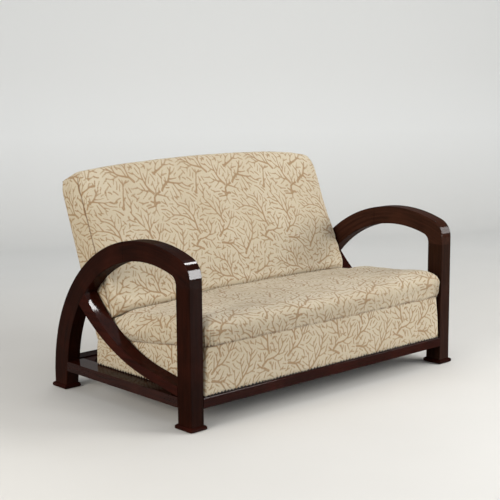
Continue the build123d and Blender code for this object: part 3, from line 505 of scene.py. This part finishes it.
def grid_quads(rows, columns, start=0):
    """The quads of a grid of points that are numbered row by row from a start."""
    index = np.arange(rows * columns).reshape(rows, columns) + start
    return np.stack([index[:-1, :-1], index[:-1, 1:], index[1:, 1:], index[1:, :-1]], -1).reshape(-1, 4)


def cloth_piece(name, sheets, nodes, material=cover_cloth, cap=None):
    """Makes one object of grids: each sheet is points in mm, its chart in mm and its painted shade along the
    seams and folds, rows by columns. A cap is the loop of points that closes its underside; then the sheets
    are sewn together where they meet."""
    mesh = bpy.data.meshes.new(name)
    faces, start = [], 0
    for points, _, _ in sheets:
        faces.append(grid_quads(*points.shape[:2], start))
        start += points.shape[0] * points.shape[1]
    faces = np.concatenate(faces)
    corners = np.concatenate([points.reshape(-1, 3) for points, _, _ in sheets]) * MM
    charts = np.concatenate([chart.reshape(-1, 2) for _, chart, _ in sheets])
    painted_seam_shade = np.concatenate([seam.reshape(-1) for _, _, seam in sheets])
    caps = [] if cap is None else [cap]
    mesh.from_pydata(corners.tolist(), [], faces.tolist() + [loop.tolist() for loop in caps])
    for layer, values in (("motif", motif_at(charts)), ("seam", painted_seam_shade)):
        mesh.attributes.new(layer, "FLOAT", "POINT").data.foreach_set("value", values.astype(np.float32))
    loops = np.concatenate([faces.reshape(-1)] + caps)
    flat_places = (charts * MM)[loops].astype(np.float32).reshape(-1)
    mesh.uv_layers.new(name="cloth").data.foreach_set("uv", flat_places)
    if caps:
        shell = bmesh.new()
        shell.from_mesh(mesh)
        bmesh.ops.remove_doubles(shell, verts=shell.verts, dist=0.02 * MM)
        bmesh.ops.recalc_face_normals(shell, faces=shell.faces)
        for edge in shell.edges:
            edge.smooth = edge.calc_face_angle(0.0) < 1.0
        shell.to_mesh(mesh)
        shell.free()
    mesh.shade_smooth()
    mesh.update()
    made = bpy.data.objects.new(name, mesh)
    scene.collection.objects.link(made)
    made.data.materials.append(material)
    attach(made, "root")
    if nodes:
        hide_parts(*nodes)


# Seat cover: a crowned sprung cushion cut from one width of cloth, rolled over the edge wire at the
# front and the sides, drawn in and sewn to the border along its seam. Sizes in mm, angles in degrees.
GRID = 4.0
SEAT = {"half": 663.0, "nose": 9.0, "seam_z": 302.0, "rake": 7.0, "ease": 3.0, "rear": 600.0, "crown": 103.0,
        "run_x": 121.0, "run_edge": 129.0, "corners": (14.0, 22.0, 62.0), "belly": 0.5, "tuck": 0.12,
        "power": 3.0, "dome": 5.0, "uneven": 1.6, "pucker": 1.1, "pleat": 6.4, "sag": 17.0, "end_sag": 10.0,
        "proud": 13.0, "dip": 4.0, "allowance": 22.0}
rake_slope = math.tan(math.radians(SEAT["rake"]))


def seam_height(y):
    """Height in mm of the sloping plane of the seat's seam, at a depth behind the legs' front."""
    return SEAT["seam_z"] - rake_slope * (y + SEAT["nose"])


def smooth(share):
    """A step that eases in and out between 0 and 1."""
    share = np.clip(share, 0, 1)
    return share * share * (3 - 2 * share)


def left_sag(x):
    """How far the seat's rear has settled towards its left end, in mm."""
    return SEAT["sag"] * smooth((-x - 140.0) / 320.0) + SEAT["end_sag"] * smooth((-x - 540.0) / 130.0)


def pillow_edge(part, run):
    """A pillow's edge from its seam to its crown: arc length in mm, rise as a share of the crown, and inset
    as a share of the run. It stands up from a tuck to its belly, and then turns in on a superellipse."""
    low = np.linspace(0, 1, 200, endpoint=False)
    angle = np.linspace(0, math.pi / 2, 400)
    bend = 2 / part["power"]
    rise = np.concatenate([part["belly"] * low, part["belly"] + (1 - part["belly"]) * np.sin(angle) ** bend])
    inset = np.concatenate([part["tuck"] * (1 - low) ** 1.6, 1 - np.clip(np.cos(angle), 0, 1) ** bend])
    length = np.cumsum(np.hypot(np.diff(rise) * part["crown"], np.diff(inset) * run))
    return np.append(0, length), rise, inset


def ring_place(span, depth, half_span, full_depth, half, edge, radius, far):
    """Where a place on the flat cloth lands on its ring, a rectangle with two round corners that is open at
    the far end. A place nearer the edge than the side runs along the edge, the rest along the side; both are
    spread by arc length."""
    rim = np.minimum(half_span - np.abs(span), depth)
    sign = np.where(span < 0, -1.0, 1.0)
    along_edge = depth <= half_span - np.abs(span)
    share = np.clip(np.abs(span) / np.maximum(half_span - rim, 1e-6), 0, 1)
    eighth = math.pi * radius / 4
    length = share * (half - radius + eighth)
    turn = np.clip((length - (half - radius)) / np.maximum(radius, 1e-6), 0, math.pi / 4)
    straight = length <= half - radius
    edge_x = np.where(straight, length, half - radius + radius * np.sin(turn))
    edge_y = np.where(straight, edge, edge + radius - radius * np.cos(turn))
    share = np.clip((depth - rim) / np.maximum(full_depth - rim, 1e-6), 0, 1)
    side_length = share * (far - edge - radius + eighth)
    turn = np.clip(math.pi / 4 + side_length / np.maximum(radius, 1e-6), math.pi / 4, math.pi / 2)
    on_arc = side_length <= eighth
    side_x = np.where(on_arc, half - radius + radius * np.sin(turn), half)
    side_y = np.where(on_arc, edge + radius - radius * np.cos(turn), edge + radius + side_length - eighth)
    return (sign * np.where(along_edge, edge_x, side_x), np.where(along_edge, edge_y, side_y), along_edge,
            sign * length)


def pillow_cloth(part, roll_run, far, corner_radius):
    """A pillow's flat cloth as a grid, and where each of its places lands. The roll climbs from the seam to
    the crown, and past it each ring closes in by the way gone over the top. The chart is the flat place."""
    length, rise, inset = pillow_edge(part, roll_run)
    roll_length = length[-1]
    half_span = roll_length + part["half"] - part["run_x"]
    full_depth = roll_length + far - part["run_edge"]
    span, depth = np.meshgrid(np.linspace(-half_span, half_span, int(2 * half_span / GRID) + 1),
                              np.linspace(0, full_depth, int(full_depth / GRID) + 1))
    rim = np.minimum(half_span - np.abs(span), depth)
    over = np.maximum(rim - roll_length, 0)
    on_roll = np.minimum(rim, roll_length)
    rise_share, inset_share = np.interp(on_roll, length, rise), np.interp(on_roll, length, inset)
    half = part["half"] - part["run_x"] * inset_share - over
    edge = part["run_edge"] * inset_share + over
    radius = np.minimum(np.clip(corner_radius(rise_share, over), 0.01, None), np.maximum(half, 0.01))
    x, inward, along_edge, edge_length = ring_place(span, depth, half_span, full_depth,
                                                    half, edge, radius, far)
    chart = np.stack([np.where(along_edge, edge_length, span),
                      np.where(along_edge, depth, roll_length + inward - part["run_edge"])], -1)
    return SimpleNamespace(x=x, inward=inward, chart=chart, rim=rim, over=over, rise_share=rise_share,
                           half=half, side=np.sign(span), along_edge=along_edge, to_end=full_depth - depth,
                           from_corner=np.abs(half_span - np.abs(span) - depth))


def three_mean(field, axis):
    """The mean of each entry and its two neighbours along an axis, where an end counts itself again."""
    every = np.arange(field.shape[axis])
    return (np.take(field, np.maximum(every - 1, 0), axis) + field
            + np.take(field, np.minimum(every + 1, every[-1]), axis)) / 3


def settle(points, sewn, most, spare):
    """Swells a grid of cloth, held where it is sewn, with Blender's Cloth: pressure from inside for 20 frames
    and a little spare cloth to pucker. Every third point is simulated; the moves, capped in mm, spread to all
    points."""
    skip, frames, pressure = 3, 20, 4.0
    rows, columns = (np.unique(np.append(np.arange(0, n, skip), n - 1)) for n in points.shape[:2])
    coarse = points[np.ix_(rows, columns)] * MM
    held = sewn[np.ix_(rows, columns)]
    mesh = bpy.data.meshes.new("settling_cloth")
    mesh.from_pydata(coarse.reshape(-1, 3).tolist(), [], grid_quads(*held.shape).tolist())
    swatch = bpy.data.objects.new("settling_cloth", mesh)
    scene.collection.objects.link(swatch)
    swatch.vertex_groups.new(name="sewn").add(np.flatnonzero(held).tolist(), 1.0, "REPLACE")
    cloth = swatch.modifiers.new("cloth", "CLOTH")
    cloth.settings.quality = 6
    cloth.settings.mass = 0.3
    cloth.settings.bending_stiffness = 0.8
    cloth.settings.vertex_group_mass = "sewn"
    cloth.settings.use_pressure = True
    cloth.settings.uniform_pressure_force = pressure
    cloth.settings.shrink_min = -spare
    cloth.settings.effector_weights.gravity = 0.0
    cloth.collision_settings.use_collision = False
    cloth.point_cache.frame_start, cloth.point_cache.frame_end = 1, frames
    for number in range(1, frames + 1):
        scene.frame_set(number)
    swollen = swatch.evaluated_get(bpy.context.evaluated_depsgraph_get()).data
    found = np.empty(len(swollen.vertices) * 3)
    swollen.vertices.foreach_get("co", found)
    scene.frame_set(1)
    bpy.data.objects.remove(swatch)
    bpy.data.meshes.remove(mesh)
    moved = (found.reshape(coarse.shape) - coarse) / MM
    far = np.linalg.norm(moved, axis=-1, keepdims=True)
    moved = moved * np.minimum(1, most / np.maximum(far, 1e-6))
    # the swell as a whole is in the measured shape already, so the puckers stay and the broad rise comes out
    broad = moved
    for _ in range(24):
        broad = three_mean(three_mean(broad, 0), 1)
    moved = (moved - 0.95 * broad) * ~held[..., None]
    # spread to every point: straight between the simulated ones, then smoothed over one of their spacings
    for axis, kept in ((0, rows), (1, columns)):
        every = np.arange(kept[-1] + 1)
        low = np.clip(np.searchsorted(kept, every, side="right") - 1, 0, len(kept) - 2)
        share = (every - kept[low]) / (kept[low + 1] - kept[low])
        share = share.reshape((-1, 1, 1) if axis == 0 else (1, -1, 1))
        moved = np.take(moved, low, axis) * (1 - share) + np.take(moved, low + 1, axis) * share
        for _ in range(2):
            ends = np.moveaxis(moved, axis, 0)[[0, -1]]
            moved = three_mean(moved, axis)
            np.moveaxis(moved, axis, 0)[[0, -1]] = ends
    return points + moved


def three_sides(points):
    """The points along a grid's first column, first row and last column, in one line."""
    return np.concatenate([points[::-1, 0], points[0, 1:-1], points[:, -1]])


flat = pillow_cloth(SEAT, SEAT["run_edge"], SEAT["rear"] + SEAT["nose"],
                    lambda share, over: np.interp(share, (0, 0.5, 1), SEAT["corners"]) - over)
x, y, rim, seat_chart = flat.x, flat.inward, flat.rim, flat.chart
# the crown keeps rising gently towards the middle of the seat, and sits a little uneven over the springs
dome = SEAT["dome"] * np.clip(1 - (x / 560) ** 2, 0, 1) * np.clip(flat.over / 160, 0, 1) ** 0.7
uneven = SEAT["uneven"] * ripple(seat_chart, 190, 3) * np.clip(flat.rise_share, 0, 1)
rise_mm = SEAT["crown"] * flat.rise_share + dome - 2.0 + uneven
tilt = np.radians(SEAT["rake"] - SEAT["ease"] * flat.rise_share ** 1.4)
# the cloth is drawn into the seam in puckers, and the spare cloth of each front corner lies in pleats that
# fan out from the seam
pleat = np.exp(-(flat.from_corner / 48) ** 2 - rim / 50) * np.cos(2 * math.pi * flat.from_corner / 17 + 0.6)
pull = SEAT["pucker"] * np.exp(-rim / 16.0) * ripple(seat_chart * (1.0, 0.15), 34, 8) + SEAT["pleat"] * pleat
x = x + np.where(flat.along_edge, 0, flat.side * pull)
y = y - np.where(flat.along_edge, pull, 0)
# years of use: the pad has settled at its left rear corner and stands a little proud on the right
settled = left_sag(x) * smooth((y - 180.0) / 300.0)
proud = SEAT["proud"] * smooth((x - 180.0) / 330.0) * smooth((500.0 - y) / 130.0)
dip = SEAT["dip"] * np.exp(-((x - 520) / 110) ** 2 - ((y - 330) / 130) ** 2)
rise_mm = rise_mm + (proud - settled - dip) * np.clip(1.3 * flat.rise_share, 0, 1)
points = np.stack([x, front_y / MM - SEAT["nose"] + y * np.cos(tilt),
                   SEAT["seam_z"] + rise_mm - y * np.sin(tilt)], -1)
seat_points = settle(points, (rim < 5) | (flat.to_end < 130), most=10.0, spare=0.025)
# painted shade: a dashed dark line along the seam, and darker valleys between the pleats at the front corners
seam_dashes = 0.6 + 0.4 * np.tanh(4 * ripple(seat_chart, 40, 15))
seat_painted_shade = np.clip(seam_dashes * np.exp(-(rim / 5.0) ** 2) + 1.1 * np.clip(-pleat, 0, 1) ** 1.3, 0, 1)

# Back geometry shared by the back's pieces: x runs across, rise runs up the slope and reach runs out
# of it to the sitter. Sizes in mm, angles in degrees.
BACK = {"recline": 20.6, "foot_y": 667.0, "foot_z": 242.0, "half": 649.0, "end": 618.0, "middle": 665.0,
        "shoulder": 365.0, "drop": 9.0, "corner": 14.0, "foot": 60.0, "seam": 127.0, "seam_tip": 1.5,
        "tip": 1.5, "crown": 54.0, "run_x": 150.0, "run_edge": 190.0, "rear": 600.3, "belly": 0.2,
        "tuck": 0.03, "power": 2.5, "dome": 3.5, "uneven": 1.8, "pucker": 3.6}
# how far the slack cover strays from that: lifts and drops up the slope, and pulls across
SLACK = {"left_lift": 13.0, "top_drop": 3.0, "ear_lift": 5.0, "tip_drop": 6.0, "left_out": 8.0,
         "ear_out": 3.0, "left_ear_out": 1.0, "tip_in": 12.0}
recline = math.radians(BACK["recline"])
rise_way = np.array([0, math.sin(recline), math.cos(recline)])
reach_way = np.array([0, -math.cos(recline), math.sin(recline)])
back_zero = np.array([0, front_y / MM + BACK["foot_y"], BACK["foot_z"]])


def back_place(x, rise, reach):
    """Points in mm at a distance across the back, up its slope and out of it. The cover is slack: its upper
    left corner stands out, its top line sags to the right, and its foot follows the seat."""
    left = x < 0
    beside, below = np.abs(x) - BACK["half"], BACK["end"] - rise
    ear = np.exp(-(beside / 50) ** 2 - (below / 60) ** 2)
    tip = np.exp(-(beside / 24) ** 2 - (below / 30) ** 2)
    high = np.clip(rise / BACK["middle"], 0, 1) ** 3
    low = (1 - np.clip((rise - BACK["foot"]) / 160, 0, 1)) ** 2 * np.clip((reach - 70) / 60, 0, 1)
    rise = rise + high * (SLACK["left_lift"] * np.exp(-((x + BACK["half"]) / 170) ** 2) - SLACK["top_drop"])
    rise = rise + np.where(left, 1, -1) * SLACK["ear_lift"] * ear
    rise = rise - SLACK["tip_drop"] * tip - left_sag(x) * low
    out = np.where(left, -SLACK["left_ear_out"], SLACK["ear_out"]) * ear - np.sign(x) * SLACK["tip_in"] * tip
    x = np.where(left, x * (1 + SLACK["left_out"] / BACK["half"]), x) + out
    return (back_zero + x[..., None] * np.array([1.0, 0, 0]) + rise[..., None] * rise_way
            + reach[..., None] * reach_way)


def top_drop(x, half=BACK["half"]):
    """How far the top line lies below its middle: a flat arc to the shoulder, then a parabola down to the
    corner."""
    wide = np.abs(x) * BACK["half"] / half
    slope = 2 * BACK["drop"] / BACK["shoulder"]
    beyond = np.maximum(wide - BACK["shoulder"], 0)
    rest = BACK["half"] - BACK["shoulder"]
    bend = (BACK["middle"] - BACK["end"] - BACK["drop"] - slope * rest) / rest ** 2
    return np.where(wide < BACK["shoulder"], BACK["drop"] * (wide / BACK["shoulder"]) ** 2,
                    BACK["drop"] + slope * beyond + bend * beyond ** 2)


def low_edge(reach):
    """The rise at which the back meets the plane of the seat's seam, at a reach out of its slope."""
    height = seam_height(BACK["foot_y"] + reach * reach_way[1]) - BACK["foot_z"] - reach * reach_way[2]
    return height / (rise_way[2] + rake_slope * rise_way[1])


# the seat cloth dips where it tucks in below the back cushion
rise_of = (seat_points - back_zero) @ rise_way
reach_of = (seat_points - back_zero) @ reach_way
inside = np.clip((BACK["seam"] + 44.0 - reach_of) / 14.0, 0, 1)
tuck_rise = BACK["foot"] - 1.5 - left_sag(seat_points[..., 0])
surplus = np.where(rise_of > tuck_rise, (rise_of - tuck_rise) * inside, 0)
seat_points = seat_points - surplus[..., None] * rise_way

# its underside: the seam allowance turns in, the rear edge drops, and a flat sheet lies on the hessian
turned_in = ((SEAT["half"] - SEAT["allowance"]) / SEAT["half"], 1.0, 1.0)
rim_line = three_sides(seat_points)
allowance = rim_line * turned_in
allowance[:, 1] += 8.0 * np.clip(1 - (rim_line[:, 1] - seat_points[0, 0, 1]) / 80, 0, 1)
allowance[:, 2] = seam_height(allowance[:, 1] - front_y / MM) + 0.8
rear_top = seat_points[-1]
rear_foot = rear_top * turned_in
rear_foot[:, 1:] = allowance[0, 1:]
sheets = [(seat_points, seat_chart, seat_painted_shade)]
for top_line, low_line in ((rim_line, allowance), (rear_top, rear_foot)):
    line_chart = np.stack([top_line[:, :2], low_line[:, :2]])
    sheets.append((np.stack([top_line, low_line]), line_chart, np.zeros((2, len(top_line)))))
lip_start = seat_points.shape[0] * seat_points.shape[1] + len(rim_line)
wall_start = lip_start + len(rim_line) + len(rear_top)
cap = np.concatenate([lip_start + np.arange(len(rim_line)),
                      wall_start + np.arange(len(rear_top))[::-1][1:-1]])
cloth_piece("seat_cushion_cover", sheets, ["seat_cover", "seat_padding"], cap=cap)

# Seat border: an upright band of cloth round the spring box, sewn to the seat at its top and tacked
# to the rails along its foot, where the cloth puckers between the tacks. Sizes in mm.
BORDER = {"foot_z": 117.0, "foot_half": 662.5, "seam_half": 648.5, "foot_front": 4.0, "seam_front": 7.5,
          "rear": 665.0, "corner": 14.0, "puff": 2.6, "uneven": 0.9, "tack_pitch": 16.5, "scallop": 10.5,
          "pucker": 1.6, "shade_strip_inset": 3.2}
RING_STEP = 2.5
border_rise = SEAT["seam_z"] - BORDER["foot_z"]
side_lean = (BORDER["foot_half"] - BORDER["seam_half"]) / border_rise
front_lean = (BORDER["seam_front"] - BORDER["foot_front"]) / border_rise


def border_ring(count_x, count_y, count_turn):
    """A closed rounded rectangle of shares: each row is a place from -1 to 1 across and from front to rear,
    and the heading of the outward normal."""
    pieces = []
    for start, end in (((-1, -1), (1, -1)), ((1, -1), (1, 1)), ((1, 1), (-1, 1)), ((-1, 1), (-1, -1))):
        step = np.subtract(end, start)
        heading = math.atan2(step[1], step[0]) - math.pi / 2
        share = np.linspace(0, 1, count_y if step[0] == 0 else count_x)
        turns = np.linspace(0, math.pi / 2, count_turn + 2)[1:-1]
        pieces.append(np.stack([start[0] + step[0] * share, start[1] + step[1] * share,
                                np.full(len(share), heading)], 1))
        pieces.append(np.stack([end[0] + 0 * turns, end[1] + 0 * turns, heading + turns], 1))
    return np.concatenate(pieces + [pieces[0][:1]])


def border_points(bulge, lift_low):
    """The band's points: each ring point climbs from the rail to the sloping seam plane and leans in."""
    radius = BORDER["corner"]
    rise = np.zeros((len(level), len(ring)))
    for _ in range(4):
        half = BORDER["foot_half"] - side_lean * rise
        low = BORDER["foot_front"] + front_lean * rise
        x = ring[:, 0] * (half - radius) + (radius + bulge) * np.cos(ring[:, 2])
        y_mid, y_half = (low + BORDER["rear"]) / 2, (BORDER["rear"] - low) / 2
        y = y_mid + ring[:, 1] * (y_half - radius) + (radius + bulge) * np.sin(ring[:, 2])
        rise = lift_low + level * (seam_height(y) - BORDER["foot_z"] - lift_low)
    return np.stack([x, front_y / MM + y, BORDER["foot_z"] + rise], -1)


ring = border_ring(int(1300 / RING_STEP), int(640 / RING_STEP), 6)
level = np.linspace(0, 1, 48)[:, None]
foot_x = ring[:, 0] * (BORDER["foot_half"] - BORDER["corner"]) + BORDER["corner"] * np.cos(ring[:, 2])
foot_y = (ring[:, 1] * (BORDER["rear"] - BORDER["foot_front"] - 2 * BORDER["corner"]) / 2
          + BORDER["corner"] * np.sin(ring[:, 2]))
round_length = np.append(0, np.cumsum(np.hypot(np.diff(foot_x), np.diff(foot_y))))
along = np.broadcast_to(round_length, (len(level), len(ring)))
chart = np.stack([along + 60, (1 - level) * -border_rise + 900 + 0 * along], -1)
tacks = (along + 5 * ripple(chart * (1.0, 0.0), 160, 5)) / BORDER["tack_pitch"]
between = 0.5 - 0.5 * np.cos(2 * math.pi * tacks)
hem = np.exp(-level * border_rise / 9.0)
swell = np.sin(math.pi * level)
bulge = BORDER["puff"] * (swell ** 0.8 - (level == 0)) + BORDER["uneven"] * ripple(chart, 150, 11) * swell
bulge = bulge - BORDER["pucker"] * hem * (1 - between)
lift_low = 0.3 + BORDER["scallop"] * between[0] * (0.75 + 0.25 * ripple(chart[0] * (1.0, 0.0), 45, 6))
# the scallops are turned under, so the motif keeps its height above the rail
chart[..., 1] += (1 - level) * lift_low
# painted shade: a dark line along the seam at the top, and darker dimples at the tacks
painted_shade = np.maximum(0.8 * np.exp(-((1 - level) * border_rise / 3.0) ** 2), 0.25 * hem * (1 - between))
cloth_piece("seat_border_band", [(border_points(bulge, lift_low), chart, painted_shade)],
            ["front_border", "left_border", "right_border", "rear_border"])
# a black strip of lining behind the scallops is painted shade, so that the gaps under them show dark
shade_strip_points = border_points(np.full_like(along, -BORDER["shade_strip_inset"]), np.full(len(ring), 0.4))[:4]
cloth_piece("hem_shade_strip", [(shade_strip_points, chart[:4], 0 * along[:4])], [], lining)

# Back cushion: a crowned, leaning pad with a long soft edge, under the same cloth as the seat and
# sewn to its boxing all round.
flat = pillow_cloth(BACK, BACK["run_x"], BACK["middle"] - BACK["foot"],
                    lambda share, over: BACK["corner"] * (1 + share) - over * 0.2)
x, rim, half = flat.x, flat.rim, flat.half
up_slope = BACK["middle"] - BACK["foot"] - flat.inward
shift = np.where(half > 1, top_drop(np.clip(x, -half, half), np.maximum(half, 1)), 0)
height = up_slope - shift * np.clip(up_slope / 500, 0, 1)
chart = flat.chart * (1.0, -1.0) + (130.0, 700.0)
roll_in = np.sqrt(np.clip(1 - (1 - np.clip(height / 38.0, 0, 1)) ** 2, 0, 1))
dome = BACK["dome"] * np.clip(1 - (x / 520) ** 2, 0, 1) * np.clip(flat.over / 160, 0, 1)
uneven = BACK["uneven"] * ripple(chart, 230, 21) * flat.rise_share
tuck = np.exp(-rim / 20.0)
crown_mm = ((BACK["crown"] * flat.rise_share + dome - 1.5 + uneven) * roll_in
            + BACK["pucker"] * tuck * (1 - tuck) * ripple(chart, 42, 22))
tip = np.radians(BACK["seam_tip"] + BACK["tip"] * flat.rise_share)
points = back_place(x, BACK["foot"] + height * np.cos(tip), BACK["seam"] + crown_mm - height * np.sin(tip))
back_points = settle(points, (rim < 5) | (height < 30), most=14.0, spare=0.02)
# painted shade: a dark line along the cushion's seam with the boxing
sheets = [(back_points, chart, 0.85 * np.exp(-(rim / 1.6) ** 2))]

# its boxing strip runs up one side, over the top and down the other, between cushion and rear panel
corner = BACK["corner"]
turn = np.linspace(0, math.pi / 2, 8)[1:-1]
side_rise = np.linspace(BACK["foot"], BACK["end"] - corner, int((BACK["end"] - corner - BACK["foot"]) / GRID))
side_x = np.append(np.full(len(side_rise), BACK["half"]), BACK["half"] - corner + corner * np.cos(turn))
end_top = BACK["middle"] - top_drop(np.array(BACK["half"] - corner))
side_rise = np.append(side_rise, end_top - corner + corner * np.sin(turn))
top_x = np.linspace(-(BACK["half"] - corner), BACK["half"] - corner, int(2 * BACK["half"] / GRID))
path_x = np.concatenate([-side_x, top_x, side_x[::-1]])
path_rise = np.concatenate([side_rise, BACK["middle"] - top_drop(top_x), side_rise[::-1]])
path_length = np.append(0, np.cumsum(np.hypot(np.diff(path_x), np.diff(path_rise))))
across = np.linspace(0, 1, 33)[:, None]
seam_reach = BACK["seam"] - (path_rise - BACK["foot"]) * math.tan(math.radians(BACK["seam_tip"]))
reach = across * seam_reach
chart = np.stack([reach + 40, path_length + 0 * across + 210], -1)
puff = 2.4 * np.sin(math.pi * across) * (1 + 0.5 * ripple(chart, 130, 31))
puff = puff - 5.0 * np.exp(-(1 - across) * seam_reach / 6)
step_x, step_rise = np.gradient(path_x), np.gradient(path_rise)
step = np.hypot(step_x, step_rise)
points = back_place(path_x - puff * step_rise / step, path_rise + puff * step_x / step, reach)
sewn_line = three_sides(back_points)
nearest = ((points[-1][:, None] - sewn_line[None]) ** 2).sum(-1).argmin(1)
points = points + across[..., None] ** 6 * (sewn_line[nearest] - points[-1])
# painted shade: dark lines along both of the boxing's seams
painted_shade = 0.8 * np.exp(-((1 - across) * seam_reach / 1.5) ** 2) + 0.5 * np.exp(-(reach / 1.5) ** 2)
sheets.append((points[::-1], chart[::-1], painted_shade[::-1]))

# below the cushion the sides run on down to the seat's border
for sign in (-1, 1):
    up_share, out_share = np.meshgrid(np.linspace(0, 1, 36), np.linspace(0, 1, 25), indexing="ij")
    rise_mm = np.full_like(out_share, BACK["foot"])
    for _ in range(4):
        reach = out_share * (BACK["foot_y"] - BACK["rear"] + rise_mm * rise_way[1]) / -reach_way[1]
        low = low_edge(reach)
        rise_mm = low + up_share * (BACK["foot"] - low)
    points = back_place(np.full_like(reach, sign * BACK["half"]), rise_mm, reach)
    chart = np.stack([reach + 40, rise_mm - BACK["foot"] + 210], -1)
    # painted shade: darker where the sides meet the seat
    painted_shade = 0.6 * np.exp(-(up_share * 60) ** 2)
    sheets.append((points[:, ::sign], chart[:, ::sign], painted_shade[:, ::sign]))
cloth_piece("back_cushion_cover", sheets,
            ["back_cover", "back_padding", "left_back_boxing", "right_back_boxing"])

# Outside back: a flat panel of the same cloth, drawn over the frame and blind-stitched round its
# edge. It swells a little from its stitched edge inwards.
across = np.linspace(-1, 1, int(2 * BACK["half"] / 5))
x = across * (BACK["half"] - 0.5) + np.zeros((130, 1))
top = BACK["middle"] - top_drop(x) - 0.5
low = low_edge(0.0)
rise_mm = low + np.linspace(0, 1, 130)[:, None] * (top - low)
chart = np.stack([-x + 300, rise_mm + 50], -1)
edge_gap = np.minimum(np.minimum(BACK["half"] - np.abs(x), rise_mm - low), top - rise_mm)
puff = 2.2 * (1 - np.exp(-edge_gap / 30)) + 0.8 * ripple(chart, 260, 41) * (1 - np.exp(-edge_gap / 60))
# painted shade: a dark line along the stitched edge
painted_shade = 0.7 * np.exp(-(edge_gap / 1.6) ** 2)
cloth_piece("outside_back_panel", [(back_place(x, rise_mm, -puff), chart, painted_shade)], ["outside_back"])
